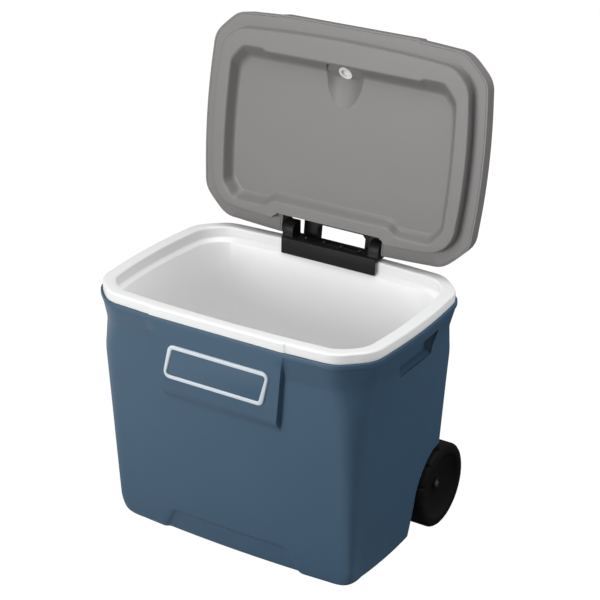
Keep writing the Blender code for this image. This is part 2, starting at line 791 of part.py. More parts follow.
def lid_ring(z, inset):
    """Outline of the lid with its flat front tab."""

    def out(x, wall):
        return LID_HALF_Y - LID_FLAT_IN - inset - wall

    return plan(LID_HALF_X - inset, LID_HALF_Y - inset, LID_CORNER_X - OFFSET_SHARE * inset,
                LID_CORNER_Y - OFFSET_SHARE * inset, z,
                front=(LID_TAB_HALF, PANEL_EDGE, out), bend=LID_BEND, puff=LID_PUFF)


def plug_ring(z, inset):
    """Outline of the plug, which has no tab."""
    return plan(LID_HALF_X - inset, LID_HALF_Y - inset, LID_CORNER_X - OFFSET_SHARE * inset,
                LID_CORNER_Y - OFFSET_SHARE * inset, z, bend=LID_BEND, puff=PLUG_PUFF)


def pan_ring(z, inset, fall=0.0):
    """Outline of the recessed pan; its front wall leans further in as fall goes to 1."""
    lean = PAN_LEAN * fall
    half_x = LID_HALF_X - PAN_SIDE - inset
    half_y = LID_HALF_Y - 0.5 * (PAN_FRONT + PAN_REAR) - inset - 0.5 * (lean + PAN_FRONT_STEP * fall)
    shift = 0.5 * (PAN_FRONT - PAN_REAR) + 0.5 * (lean + PAN_FRONT_STEP * fall)

    def front_out(x, wall):
        return -PAN_FRONT_STEP * (1.0 - fall)

    def rear_out(x, wall):
        return -PAN_REAR_STEP

    corner_x = mix(PAN_CORNER_X, PAN_FLOOR_CORNER, fall)
    corner_y = mix(PAN_CORNER_Y, PAN_FLOOR_CORNER, fall)
    return plan(half_x, half_y, corner_x, corner_y, z, shift,
                bulge_x=PAN_BULGE_X, bulge_y=PAN_BULGE_Y,
                front=(PAN_FRONT_HALF, PAN_FRONT_RUN, front_out),
                rear=(PAN_REAR_HALF, PAN_REAR_RUN, rear_out), bend=PAN_BEND, puff=0.0)


def lid_outer_rings(grow, z_low):
    """Rings of the lid outside, grown outward by grow."""
    top = LIP_Z + LID_TALL + grow
    rings = [lid_ring(z_low, -grow)]
    low = LIP_Z + LID_TALL - LID_TOP_ROUND
    rings.append(lid_ring(low, LID_DRAFT - grow))
    for i in range(1, 4):
        angle = math.radians(30.0 * i)
        rings.append(lid_ring(low + (LID_TOP_ROUND + grow) * math.sin(angle),
                              LID_DRAFT - grow + LID_TOP_ROUND * (1.0 - math.cos(angle))))
    rings.append(lid_ring(top + LID_CROWN, LID_CROWN_IN))
    return rings


def notch_tool(grow):
    """Cutter for the hinge notch at the rear of the lid."""
    low = PLATEAU_Z - CUT_OVER * 2
    high = LIP_Z + LID_TALL + LID_CROWN + CUT_OVER
    front = LID_HALF_Y - NOTCH_DEEP - grow
    return box("notch", (-NOTCH_HALF - grow, front, low), (NOTCH_HALF + grow, LID_HALF_Y + CUT_OVER, high))


def plug_notch_tool(grow):
    """Flared cutter that sets the plug back round the hinge leaf."""
    rear = LID_HALF_Y + CUT_OVER
    front = LID_HALF_Y - PLUG_NOTCH_DEEP - grow
    mid = LID_HALF_Y - PLUG_INSET
    near = PLUG_NOTCH_HALF + grow
    far = near + PLUG_NOTCH_FLARE
    outline = [(-near, front), (near, front), (far, mid), (far, rear), (-far, rear), (-far, mid)]
    return prism_z("plug_notch", outline, PLATEAU_Z - CUT_OVER, LIP_Z - 0.5 * PART_GAP + grow)


def relief_tool():
    """Shallow wedge off the rear lip so that it swings clear of the rim."""
    outline = [(AXIS_Y, LIP_Z - CUT_OVER), (LID_HALF_Y + CUT_OVER, LIP_Z - CUT_OVER),
               (LID_HALF_Y + CUT_OVER, LIP_Z + RELIEF_RISE), (AXIS_Y - RELIEF_RUN, LIP_Z)]
    return prism_x("relief", outline, -TOP_HALF_X, TOP_HALF_X)


def dimple_tool(grow):
    """Scoop in the front pan wall and pan floor: a flat slanted pad, then a tapering trough."""
    floor = PLATEAU_Z + PAN_DEEP
    wall_y = -(LID_HALF_Y - PAN_FRONT - PAN_FRONT_STEP)
    slope = math.tan(math.radians(FILL_TILT_DEG))
    base = floor + FILL_UP - FILL_BACK * slope
    corner = PAN_DRAFT + PAN_LEAN
    top = PLATEAU_Z - grow - CUT_OVER
    deep = base + DIMPLE_TURN * slope - floor

    def ring(half, place):
        points = [(-half - grow, wall_y + place(1.0)[0], top), (half + grow, wall_y + place(1.0)[0], top)]
        for i in range(DIMPLE_STEPS + 1):
            share = 1.0 - 2.0 * i / DIMPLE_STEPS
            run, z = place(abs(share) ** DIMPLE_SECTION_POWER)
            points.append((share * (half + grow), wall_y + run, z + grow))
        return points

    def head(rise):
        run = DIMPLE_START - grow
        return run, base + DIMPLE_START * slope

    def turn(rise):
        run = mix(DIMPLE_TURN, corner, rise)
        return run, base + run * slope

    rings = [ring(DIMPLE_HEAD_HALF, head), ring(DIMPLE_HALF, turn)]
    for run_out, half, share in DIMPLE_TAIL:
        rings.append(ring(half, lambda rise: (run_out + grow, floor + deep * share * (1.0 - rise))))
    return loft("dimple", rings)


def plug_frame():
    """Place of the fill plug: on the deep end of the dimple, facing down and back."""
    floor = PLATEAU_Z + PAN_DEEP
    wall_y = -(LID_HALF_Y - PAN_FRONT - PAN_FRONT_STEP)
    place = Vector((0.0, wall_y + FILL_BACK, floor + FILL_UP))
    return Matrix.Translation(place) @ Matrix.Rotation(math.radians(FILL_TILT_DEG), 4, "X")


def fill_rod(name, radius, low, high, steps=20):
    return move_mesh(rod_z(name, 0.0, 0.0, radius, low, high, steps), plug_frame())


def pin_tools(radius, x_in, x_out):
    tools = []
    for side in (-1, 1):
        low, high = sorted((side * x_in, side * x_out))
        tools.append(rod_x("pin", AXIS_Y, AXIS_Z, radius, low, high, MID_STEPS))
    return tools


def open_lid(item):
    turn = Matrix.Translation((0.0, AXIS_Y, AXIS_Z))
    turn = turn @ Matrix.Rotation(math.radians(-LID_ANGLE_DEG), 4, "X")
    turn = turn @ Matrix.Translation((0.0, -AXIS_Y, -AXIS_Z))
    return move_mesh(item, turn)


def under_rings(off, seam, z_high):
    """Rings of the lid underside; off lifts and shrinks it for hidden faces."""
    floor = PLATEAU_Z + PAN_DEEP
    return [
        lid_ring(z_high, seam),
        lid_ring(LIP_Z + off, seam),
        plug_ring(LIP_Z + off, PLUG_INSET + off),
        plug_ring(PLATEAU_Z + off + PLUG_SOFT, PLUG_INSET + PLUG_DRAFT + off),
        plug_ring(PLATEAU_Z + off, PLUG_INSET + PLUG_DRAFT + PLUG_SOFT + off),
        pan_ring(PLATEAU_Z + off, -PLUG_SOFT - off),
        pan_ring(PLATEAU_Z + off + PLUG_SOFT, -off),
        pan_ring(floor + off - PLUG_SOFT, PAN_DRAFT * PAN_EASE_SHARE - off, PAN_EASE_SHARE),
        pan_ring(floor + off, PAN_DRAFT + PLUG_SOFT - off, 1.0),
    ]


def build_lid():
    cap = loft("lid_cap", lid_outer_rings(0.0, LIP_Z))
    cut(cap, notch_tool(0.0))
    hollow = loft("hollow", lid_outer_rings(-LID_WALL, LIP_Z - CUT_OVER))
    cut(hollow, notch_tool(LID_WALL))
    cut(cap, hollow)
    cut(cap, relief_tool())
    pin_low = LUG_IN + PIN_INSET
    pin_high = pin_low + PIN_LONG
    cut(cap, *pin_tools(PIN_R + PIN_FIT, NOTCH_HALF - CUT_OVER, pin_high + PART_GAP))

    seam = LID_WALL + SEAM_GAP
    high = LIP_Z + UNDER_HIGH
    under = loft("lid_liner", under_rings(0.0, seam, high))
    cut(under, notch_tool(seam), plug_notch_tool(0.0), dimple_tool(0.0))
    hidden = loft("hidden", under_rings(PAN_WALL, seam - SEAM_PAST, high + CUT_OVER))
    cut(hidden, plug_notch_tool(PAN_WALL), dimple_tool(PAN_WALL))
    cut(under, hidden)
    cut(under, relief_tool())
    cut(under, fill_rod("hole", FILL_R + PART_GAP, -FILL_PROUD - CUT_OVER, FILL_DEEP + PART_GAP))

    clear = PAN_WALL + FOAM_GAP
    foam = loft("lid_foam", under_rings(clear, seam + FOAM_GAP, LIP_Z + LID_TALL + LID_CROWN + CUT_OVER))
    outside = loft("outside", lid_outer_rings(-LID_WALL - FOAM_GAP, PLATEAU_Z - CUT_OVER))
    boolean(foam, outside, "INTERSECT")
    cut(foam, notch_tool(LID_WALL + FOAM_GAP), plug_notch_tool(clear), dimple_tool(clear))
    cut(foam, fill_rod("hole", FILL_R + PART_GAP, -FILL_PROUD - CUT_OVER, FILL_DEEP + PART_GAP))
    cut(foam, *pin_tools(PIN_R + PIN_FIT, NOTCH_HALF, pin_high + PART_GAP))

    plug = fill_rod("lid_fill_plug", FILL_R, -FILL_PROUD, FILL_DEEP)
    bevel(plug, FILL_SOFT, 1)
    cut(plug, fill_rod("dish", FILL_R - FILL_RING, -FILL_PROUD - CUT_OVER, FILL_DISH - FILL_PROUD))

    pins = named(pin_tools(PIN_R, pin_low, pin_high), both_sides("hinge_pin"))
    return [open_lid(item) for item in (cap, foam, under, plug, *pins)]


def round_corner_outline(corners, radius, steps=4):
    """Round every corner of a convex outline."""
    points = []
    count = len(corners)
    for i in range(count):
        here = Vector(corners[i])
        before = (Vector(corners[i - 1]) - here).normalized()
        after = (Vector(corners[(i + 1) % count]) - here).normalized()
        half = before.angle(after) / 2.0
        away = radius / math.tan(half)
        start = here + before * away
        end = here + after * away
        centre = here + (before + after).normalized() * (radius / math.sin(half))
        a = math.atan2(start.y - centre.y, start.x - centre.x)
        b = math.atan2(end.y - centre.y, end.x - centre.x)
        turn = (b - a + math.pi) % (2.0 * math.pi) - math.pi
        for k in range(steps + 1):
            angle = a + turn * k / steps
            points.append((centre.x + radius * math.cos(angle), centre.y + radius * math.sin(angle)))
    return points


def build_hinge():
    outline = [(LEAF_FRONT_Y, LEAF_FOOT), (LEAF_FRONT_Y + LEAF_THICK, LEAF_FOOT),
               (LEAF_FRONT_Y + LEAF_THICK, RIM_TOP + PART_GAP), (LEAF_REAR_Y, RIM_TOP + PART_GAP),
               (LEAF_REAR_Y, LEAF_TOP), (LEAF_FRONT_Y, LEAF_TOP)]
    leaf = prism_x("hinge_body_leaf", outline, -LEAF_HALF, LEAF_HALF)
    bevel(leaf, LEAF_SOFT * 0.5, 1)
    for side in (-1, 1):
        lug = [(AXIS_Y - LUG_R, LEAF_TOP - LEAF_SOFT), (AXIS_Y + LUG_REAR, LEAF_TOP - LEAF_SOFT)]
        rear_deg = math.degrees(math.acos(LUG_REAR / LUG_R))
        for i in range(9):
            angle = math.radians(mix(rear_deg, 180.0, i / 8))
            lug.append((AXIS_Y + LUG_R * math.cos(angle), AXIS_Z + LUG_R * math.sin(angle)))
        low, high = sorted((side * LUG_IN, side * LUG_OUT))
        lug_block = prism_x("lug", lug, low, high)
        fuse(leaf, lug_block)
    cut(leaf, *pin_tools(PIN_R + PIN_FIT, LUG_IN - CUT_OVER, LUG_OUT + CUT_OVER))
    return leaf


def screw(name, place, direction, long=SCREW_LONG, head_r=SCREW_HEAD_R, body_r=SCREW_R):
    """A pan head screw whose head sits at place and whose body runs along direction."""
    rings = []
    for radius, z in ((head_r * HEAD_FLAT_SHARE, -SCREW_HEAD_TALL), (head_r, -SCREW_HEAD_TALL * HEAD_EDGE_SHARE),
                      (head_r, 0.0), (body_r, 0.0), (body_r, long)):
        rings.append([(a, b, z) for a, b in circle(0.0, 0.0, radius, SMALL_STEPS)])
    item = loft(name, rings)
    turn = Vector((0.0, 0.0, 1.0)).rotation_difference(Vector(direction)).to_matrix().to_4x4()
    return move_mesh(item, Matrix.Translation(place) @ turn)


def screw_hole(place, direction, back=0.0, long=SCREW_LONG):
    item = rod_z("hole", 0.0, 0.0, SCREW_R + PART_GAP, -back, long + PART_GAP, SMALL_STEPS)
    turn = Vector((0.0, 0.0, 1.0)).rotation_difference(Vector(direction)).to_matrix().to_4x4()
    return move_mesh(item, Matrix.Translation(place) @ turn)


def leaf_screw_places():
    return [Vector((x, LEAF_SCREW_Y, LEAF_TOP + PART_GAP)) for x in LEAF_SCREW_XS]


def build_name_plate():
    """Blank slanted plate and its raised border on the front panel."""
    corners = [(-PLATE_HALF_X - PLATE_SLANT, -PLATE_HALF_Z), (PLATE_HALF_X - PLATE_SLANT, -PLATE_HALF_Z),
               (PLATE_HALF_X + PLATE_SLANT, PLATE_HALF_Z), (-PLATE_HALF_X + PLATE_SLANT, PLATE_HALF_Z)]
    outer = round_corner_outline(corners, PLATE_CORNER)
    inset = PLATE_BAND
    inner_corners = [(-PLATE_HALF_X - PLATE_SLANT + inset, -PLATE_HALF_Z + inset),
                     (PLATE_HALF_X - PLATE_SLANT - inset, -PLATE_HALF_Z + inset),
                     (PLATE_HALF_X + PLATE_SLANT - inset, PLATE_HALF_Z - inset),
                     (-PLATE_HALF_X + PLATE_SLANT + inset, PLATE_HALF_Z - inset)]
    inner = round_corner_outline(inner_corners, PLATE_CORNER - inset)
    border_rings = [
        [(x, 0.0, z) for x, z in outer],
        [(x, -PLATE_PROUD + PLATE_SOFT, z) for x, z in outer],
        [(mix(a[0], b[0], BAND_EASE_SHARE), -PLATE_PROUD, mix(a[1], b[1], BAND_EASE_SHARE))
         for a, b in zip(outer, inner)],
        [(mix(b[0], a[0], BAND_EASE_SHARE), -PLATE_PROUD, mix(b[1], a[1], BAND_EASE_SHARE))
         for a, b in zip(outer, inner)],
        [(x, -PLATE_PROUD + PLATE_SOFT, z) for x, z in inner],
        [(x, 0.0, z) for x, z in inner],
    ]
    border = loft("name_plate_border", border_rings, closed=True)
    share = 1.0 - PART_GAP / PLATE_HALF_Z
    face = [(x * (1.0 - PART_GAP / PLATE_HALF_X), z * share) for x, z in inner]
    plate = prism_y("name_plate", face, -PLATE_THICK, 0.0)
    slope = math.atan2(PANEL_Y_TOP - PANEL_Y_FOOT, FLARE_HIGH - PANEL_Z_FOOT)
    share_z = (PLATE_Z - PANEL_Z_FOOT) / (FLARE_HIGH - PANEL_Z_FOOT)
    y = -mix(PANEL_Y_FOOT, PANEL_Y_TOP, share_z) - PART_GAP
    place = Matrix.Translation((0.0, y, PLATE_Z)) @ Matrix.Rotation(slope, 4, "X")
    return [move_mesh(item, place) for item in (plate, border)]


def wheel_profile(out):
    """Loop of (x, radius) points of one wheel; out is +1 or -1."""
    x_out = WHEEL_OUT_X
    x_in = WHEEL_OUT_X - WHEEL_WIDE
    bore = AXLE_R + WHEEL_FIT
    points = [
        (x_out - HUB_SINK, bore), (x_out - HUB_SINK, HUB_R), (x_out - DISH_DEEP, HUB_R + DISH_STEP),
        (x_out - DISH_DEEP * DISH_MID_SHARE, WHEEL_R * 0.62), (x_out - DISH_STEP, DISH_R - DISH_STEP),
        (x_out, DISH_R + DISH_STEP * 0.5), (x_out, WHEEL_R - SHOULDER),
        (x_out - SHOULDER * 0.3, WHEEL_R - SHOULDER * 0.3), (x_out - SHOULDER, WHEEL_R),
        (x_in + SHOULDER, WHEEL_R), (x_in + SHOULDER * 0.3, WHEEL_R - SHOULDER * 0.3),
        (x_in, WHEEL_R - SHOULDER), (x_in, DISH_R), (x_in + DISH_DEEP, DISH_R - DISH_STEP * 2.0),
        (x_in + DISH_DEEP, HUB_R + DISH_STEP), (x_in + HUB_BACK, HUB_R), (x_in + HUB_BACK, bore),
    ]
    return [(out * x, r) for x, r in points]


def build_wheel(name, out):
    profile = wheel_profile(out)
    rings = []
    for i in range(WHEEL_STEPS):
        angle = 2.0 * math.pi * i / WHEEL_STEPS
        drop = TREAD_DEEP if i % TREAD_EVERY == 1 else 0.0
        ring = []
        for x, r in profile:
            radius = r - drop if r > WHEEL_R - SHOULDER * 0.5 else r
            ring.append((x, WHEEL_Y + radius * math.cos(angle), WHEEL_R + radius * math.sin(angle)))
        rings.append(ring)
    return loft(name, rings, closed=True)


def build_axle():
    half = WHEEL_OUT_X - HUB_SINK + AXLE_END_PAST
    axle = rod_x("axle_rod", WHEEL_Y, WHEEL_R, AXLE_R, -half, half)
    bevel(axle, AXLE_R * 0.15, 1)
    caps = []
    washers = []
    clips = []
    ring_low = AXLE_R + WHEEL_FIT
    for side in (-1, 1):
        x_low = WHEEL_OUT_X - HUB_SINK + PART_GAP
        x_high = x_low + NUT_TALL
        profile = [(x_low, AXLE_R + PART_GAP), (x_high, AXLE_R + PART_GAP),
                   (x_high, AXLE_R + NUT_RING * 0.6), (mix(x_low, x_high, 0.5), AXLE_R + NUT_RING),
                   (x_low, AXLE_R + NUT_RING)]
        caps.append(turned_x("cap", [(side * x, r) for x, r in profile], WHEEL_Y, WHEEL_R, MID_STEPS))
        x_inner = WHEEL_OUT_X - WHEEL_WIDE + HUB_BACK - PART_GAP
        profile = [(x_inner, ring_low), (x_inner, ring_low + WASHER_RING),
                   (x_inner - WASHER_THICK, ring_low + WASHER_RING), (x_inner - WASHER_THICK, ring_low)]
        washers.append(turned_x("washer", [(side * x, r) for x, r in profile], WHEEL_Y, WHEEL_R, MID_STEPS))
    for x in CLIP_XS:
        half_y = AXLE_SLOT_HALF - PART_GAP
        outline = [(WHEEL_Y - half_y, BASE_LIFT), (WHEEL_Y + half_y, BASE_LIFT),
                   (WHEEL_Y + half_y, WHEEL_R)]
        for i in range(13):
            angle = math.radians(-15.0 * i)
            radius = AXLE_R + PART_GAP
            outline.append((WHEEL_Y + radius * math.cos(angle), WHEEL_R + radius * math.sin(angle)))
        outline.append((WHEEL_Y - half_y, WHEEL_R))
        clips.append(prism_x("clip", outline, x - CLIP_HALF, x + CLIP_HALF))
    named(caps, both_sides("axle_push_nut"))
    named(washers, both_sides("axle_washer"))
    named(clips, ("axle_clip_left", "axle_clip_middle", "axle_clip_right"))
    return axle, caps, washers, clips


def lean(item):
    """Lean a piece of the tow handle back about the line through its datum."""
    turn = Matrix.Translation((0.0, TOW_Y, TOW_Z))
    turn = turn @ Matrix.Rotation(math.radians(-TOW_LEAN_DEG), 4, "X")
    return move_mesh(item, turn)


def clamp(z, side):
    """One sleeve clamp: a flange on the rear panel and a ring round the sleeve."""
    rear = -REAR_FACE_IN + CLAMP_GAP
    ring_r = SLEEVE_R + CLAMP_RING
    x = side * TOW_X
    body = box("clamp", (x - CLAMP_HALF_X, rear, z - CLAMP_TALL * 0.5),
               (x + CLAMP_HALF_X, rear + CLAMP_FLANGE, z + CLAMP_TALL * 0.5))
    hub = rod_z("ring", x, 0.0, ring_r, z - CLAMP_TALL * 0.5, z + CLAMP_TALL * 0.5, MID_STEPS)
    fuse(body, hub)
    cut(body, rod_z("bore", x, 0.0, SLEEVE_R + PART_GAP, z - CLAMP_TALL, z + CLAMP_TALL, MID_STEPS))
    return body


def clamp_screw_places():
    rear = -REAR_FACE_IN + CLAMP_GAP + CLAMP_FLANGE + PART_GAP
    places = []
    for z in (CLAMP_TOP_Z, CLAMP_FOOT_Z):
        for side in (-1, 1):
            for out in (-1, 1):
                places.append(Vector((side * TOW_X + out * CLAMP_SCREW_X, rear, z)))
    return places


def build_tow():
    grip = box("tow_grip", (-TOW_X - ARM_HALF_X, -ARM_HALF_Y, ARM_LOW), (TOW_X + ARM_HALF_X, ARM_HALF_Y, BAR_HIGH))
    gap_half = TOW_X - ARM_HALF_X
    bevel(grip, GRIP_ROUND, 2)
    gap_outline = [(-gap_half, ARM_LOW - CUT_OVER), (gap_half, ARM_LOW - CUT_OVER), (gap_half, BAR_LOW - GAP_SOFT),
                   (gap_half - GAP_SOFT, BAR_LOW), (-gap_half + GAP_SOFT, BAR_LOW), (-gap_half, BAR_LOW - GAP_SOFT)]
    cut(grip, prism_y("gap", gap_outline, -ARM_HALF_Y * 2.0, ARM_HALF_Y * 2.0))
    tubes = []
    sleeves = []
    for side in (-1, 1):
        x = side * TOW_X
        cut(grip, rod_z("bore", x, 0.0, TUBE_R + PART_GAP, ARM_LOW - CUT_OVER, ARM_LOW + TUBE_GRIP, MID_STEPS))
        tube = rod_z("tube", x, 0.0, TUBE_R, TUBE_FOOT, ARM_LOW + TUBE_GRIP - PART_GAP, MID_STEPS)
        cut(tube, rod_z("bore", x, 0.0, TUBE_R - TUBE_WALL, TUBE_FOOT - CUT_OVER, ARM_LOW + TUBE_GRIP + CUT_OVER, MID_STEPS))
        tubes.append(tube)
        sleeve = rod_z("sleeve", x, 0.0, SLEEVE_R, SLEEVE_FOOT, SLEEVE_TOP, MID_STEPS)
        cut(sleeve, rod_z("bore", x, 0.0, TUBE_R + SLIDE_FIT, SLEEVE_FOOT + SLEEVE_BASE, SLEEVE_TOP + CUT_OVER, MID_STEPS))
        sleeves.append(sleeve)
    clamps = [clamp(z, side) for z in (CLAMP_TOP_Z, CLAMP_FOOT_Z) for side in (-1, 1)]
    named(clamps, both_sides("upper_clamp") + both_sides("lower_clamp"))
    into = Vector((0.0, -1.0, 0.0))
    screws = []
    for number, place in enumerate(clamp_screw_places()):
        cut(clamps[number // 2], screw_hole(place, into, CLAMP_FLANGE + CUT_OVER))
        screws.append(screw("clamp_screw_%d" % (number + 1), place, into))
    named(tubes, both_sides("tow_tube"))
    named(sleeves, both_sides("tow_sleeve"))
    for item in (grip, *tubes, *sleeves, *clamps, *screws):
        lean(item)
    return grip, tubes, sleeves, clamps, screws


def build_foot_bar():
    outline = round_corner_outline([(-FOOT_BAR_HALF, FOOT_BAR_Y - FOOT_BAR_WIDE * 0.5),
                                    (FOOT_BAR_HALF, FOOT_BAR_Y - FOOT_BAR_WIDE * 0.5),
                                    (FOOT_BAR_HALF, FOOT_BAR_Y + FOOT_BAR_WIDE * 0.5),
                                    (-FOOT_BAR_HALF, FOOT_BAR_Y + FOOT_BAR_WIDE * 0.5)], FOOT_BAR_WIDE * 0.35)
    bar = prism_z("foot_bar", outline, 0.0, BASE_LIFT - PART_GAP)
    bevel(bar, FOOT_BAR_SOFT, 1)
    return bar


def drain_line_x():
    """Outer face of the left wall at the drain."""
    share = wall_share(DRAIN_Z)
    return -mix(FOOT_HALF_X, TOP_HALF_X - FLARE_OUT, share)


def build_drain():
    """Through tube with an inside flange, an outside nut, a gasket and a push plug."""
    outside = drain_line_x()
    inside = -mix(TUB_FOOT_HALF_X, TOP_HALF_X - TUB_MOUTH_INSET,
                  (DRAIN_Z - TUB_FLOOR) / (RIM_TOP - TUB_FLOOR))
    tube_out = outside - DRAIN_SEAT - DRAIN_NUT - DRAIN_PAST
    flange_in = inside + DRAIN_LIP_SEAT
    profile = [(tube_out, DRAIN_BORE), (tube_out, DRAIN_R), (flange_in - PART_GAP, DRAIN_R),
               (flange_in - PART_GAP, DRAIN_LIP_R), (flange_in + DRAIN_THICK, DRAIN_LIP_R - DRAIN_SOFT),
               (flange_in + DRAIN_THICK, DRAIN_BORE)]
    tube = turned_x("drain_tube", profile, DRAIN_Y, DRAIN_Z, MID_STEPS)
    seat = outside - DRAIN_SEAT
    nut_profile = [(seat, DRAIN_R + PART_GAP), (seat, DRAIN_FLANGE), (seat - DRAIN_NUT + DRAIN_SOFT, DRAIN_FLANGE),
                   (seat - DRAIN_NUT, DRAIN_FLANGE - DRAIN_SOFT), (seat - DRAIN_NUT, DRAIN_R + PART_GAP)]
    nut = turned_x("drain_nut", nut_profile, DRAIN_Y, DRAIN_Z, MID_STEPS)
    plug_seat = tube_out - PART_GAP
    plug_profile = [(plug_seat - DRAIN_CAP, 0.0), (plug_seat - DRAIN_CAP, DRAIN_R - DRAIN_SOFT),
                    (plug_seat - DRAIN_CAP + DRAIN_SOFT, DRAIN_R + DRAIN_SOFT), (plug_seat, DRAIN_R + DRAIN_SOFT),
                    (plug_seat, DRAIN_BORE - PART_GAP), (plug_seat + DRAIN_PLUG_LONG, DRAIN_BORE - DRAIN_SOFT),
                    (plug_seat + DRAIN_PLUG_LONG, 0.0)]
    rings = []
    for x, r in plug_profile[1:-1]:
        rings.append([(x, a, b) for a, b in circle(DRAIN_Y, DRAIN_Z, r, MID_STEPS)])
    plug = loft("drain_plug", rings)
    return tube, nut, plug


def drain_hole(name, radius):
    return rod_x(name, DRAIN_Y, DRAIN_Z, radius, -TOP_HALF_X, -TUB_FOOT_HALF_X + DRAIN_REACH, MID_STEPS)


def centre_over_origin():
    """Move everything along Y so that the whole object stands centred over the origin."""
    bpy.context.view_layer.update()
    ys = []
    for item in bpy.data.objects:
        ys += [(item.matrix_world @ vert.co).y for vert in item.data.vertices]
    middle = mix(min(ys), max(ys), 0.5)
    for item in bpy.data.objects:
        item.location.y -= middle


def main():
    clear_scene()
    blue = make_material("shell_blue", (0.075, 0.125, 0.180), 0.42)
    grey = make_material("lid_grey", (0.27, 0.265, 0.255), 0.45)
    white = make_material("tub_white", (0.80, 0.80, 0.79), 0.35)
    black = make_material("hinge_black", (0.012, 0.012, 0.013), 0.45)

    def keep(item, material, origin=None):
        own = material.copy()
        own.name = item.name + "_finish"
        finish(item, own, origin)

    steel = make_material("steel", (0.55, 0.56, 0.57), 0.30, 1.0)
    dark_steel = make_material("dark_steel", (0.09, 0.09, 0.09), 0.40, 1.0)
    foam_pale = make_material("foam_pale", (0.78, 0.72, 0.55), 0.90)
    rubber = make_material("rubber_black", (0.015, 0.015, 0.015), 0.75)
    plate_pale = make_material("plate_pale", (0.72, 0.75, 0.78), 0.35)
    tube_grey = make_material("tube_grey", (0.42, 0.43, 0.44), 0.32, 1.0)

    shell, foam, liner = build_body()
    into = Vector((0.0, -1.0, 0.0))
    down = Vector((0.0, 0.0, -1.0))
    for place in clamp_screw_places():
        for item in (shell, foam):
            cut(item, lean(screw_hole(place, into)))
    cut(shell, drain_hole("hole", DRAIN_R + PART_GAP))
    cut(foam, drain_hole("hole", DRAIN_R + PART_GAP))
    cut(liner, drain_hole("hole", DRAIN_R + PART_GAP))
    leaf = build_hinge()
    for place in leaf_screw_places():
        for item in (leaf, liner, foam):
            cut(item, screw_hole(place, down))
    keep(shell, blue)
    keep(foam, foam_pale)
    keep(liner, white)
    keep(leaf, black)
    for number, place in enumerate(leaf_screw_places()):
        keep(screw("leaf_screw_%d" % (number + 1), place, down), dark_steel)

    hinge_line = (0.0, AXIS_Y, AXIS_Z)
    cap, lid_foam, under, fill, *pins = build_lid()
    keep(cap, grey, hinge_line)
    keep(lid_foam, foam_pale, hinge_line)
    keep(under, grey, hinge_line)
    keep(fill, white, hinge_line)
    for pin in pins:
        keep(pin, steel, hinge_line)

    plate, border = build_name_plate()
    keep(plate, blue)
    keep(border, plate_pale)

    for name, out in (("wheel_left", -1), ("wheel_right", 1)):
        keep(build_wheel(name, out), rubber, (out * (WHEEL_OUT_X - WHEEL_WIDE * 0.5), WHEEL_Y, WHEEL_R))
    axle, nuts, washers, clips = build_axle()
    keep(axle, steel)
    for item in nuts:
        keep(item, dark_steel)
    for item in washers:
        keep(item, steel)
    for item in clips:
        keep(item, black)

    datum = (0.0, TOW_Y, TOW_Z)
    tow_grip, tow_tubes, tow_sleeves, clamps, clamp_screws = build_tow()
    keep(tow_grip, black, datum)
    for item in tow_tubes:
        keep(item, tube_grey, datum)
    for item in tow_sleeves + clamp_screws:
        keep(item, dark_steel)
    for item in clamps:
        keep(item, black)

    keep(build_foot_bar(), rubber)
    tube, nut, drain_plug = build_drain()
    keep(tube, white)
    keep(nut, white)
    keep(drain_plug, white, (drain_line_x(), DRAIN_Y, DRAIN_Z))
    centre_over_origin()


main()
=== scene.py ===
# %% [markdown]
# # A wheeled cooler with its lid open
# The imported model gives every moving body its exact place. This lesson dresses it: the
# faceted tub, lid and wheels get smooth twins with crisp moulded edges, and each plastic
# and metal gets a finish made from nodes. The camera stands where the photographer stood.

# %% Load the frame
import math
import bmesh
import bpy
from mathutils import Matrix, Vector


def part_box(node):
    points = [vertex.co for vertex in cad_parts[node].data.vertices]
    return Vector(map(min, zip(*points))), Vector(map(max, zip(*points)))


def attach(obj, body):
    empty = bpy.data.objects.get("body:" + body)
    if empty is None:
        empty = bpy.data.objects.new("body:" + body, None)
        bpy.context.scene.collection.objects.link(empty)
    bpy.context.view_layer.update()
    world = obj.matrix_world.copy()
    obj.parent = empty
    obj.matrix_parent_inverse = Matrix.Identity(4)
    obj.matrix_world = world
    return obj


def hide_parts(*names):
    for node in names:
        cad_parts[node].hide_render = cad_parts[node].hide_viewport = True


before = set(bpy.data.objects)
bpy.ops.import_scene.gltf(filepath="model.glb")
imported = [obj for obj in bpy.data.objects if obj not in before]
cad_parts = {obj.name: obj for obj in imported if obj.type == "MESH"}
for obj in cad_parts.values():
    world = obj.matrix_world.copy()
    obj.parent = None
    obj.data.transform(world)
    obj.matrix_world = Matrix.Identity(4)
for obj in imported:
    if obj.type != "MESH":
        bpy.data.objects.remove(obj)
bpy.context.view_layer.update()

# The pieces below are drawn about the middle of the tub's top edge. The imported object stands
# centred over the origin, a little further forward, and the axle tells by how much.
AXLE_Y = 0.1465
axle_low, axle_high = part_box("axle_rod")
SHIFT = Vector((0.0, (axle_low.y + axle_high.y) / 2.0 - AXLE_Y, 0.0))
print("shift", [round(v, 5) for v in SHIFT])

# %% [markdown]
# ## Camera
# The view was found by matching the straight edges of the tub and the lid. It is a fairly
# long lens, so the tub tapers only a little from near to far. The camera's frame is built
# from three axes: back along the sight line, right, and up, then rolled by less than a
# degree.

# %% Camera at the photograph's viewing angle
AZIMUTH_DEG = 31.39
ELEVATION_DEG = 24.57
ROLL_DEG = 0.83
AIM = Vector((0.0320, 0.0184, 0.4324))
DISTANCE = 3.0543
SENSOR_MM = 36.0
FOCAL_SHARE = 1798.9 / 600.0
CLIP_NEAR, CLIP_FAR = 0.1, 60.0


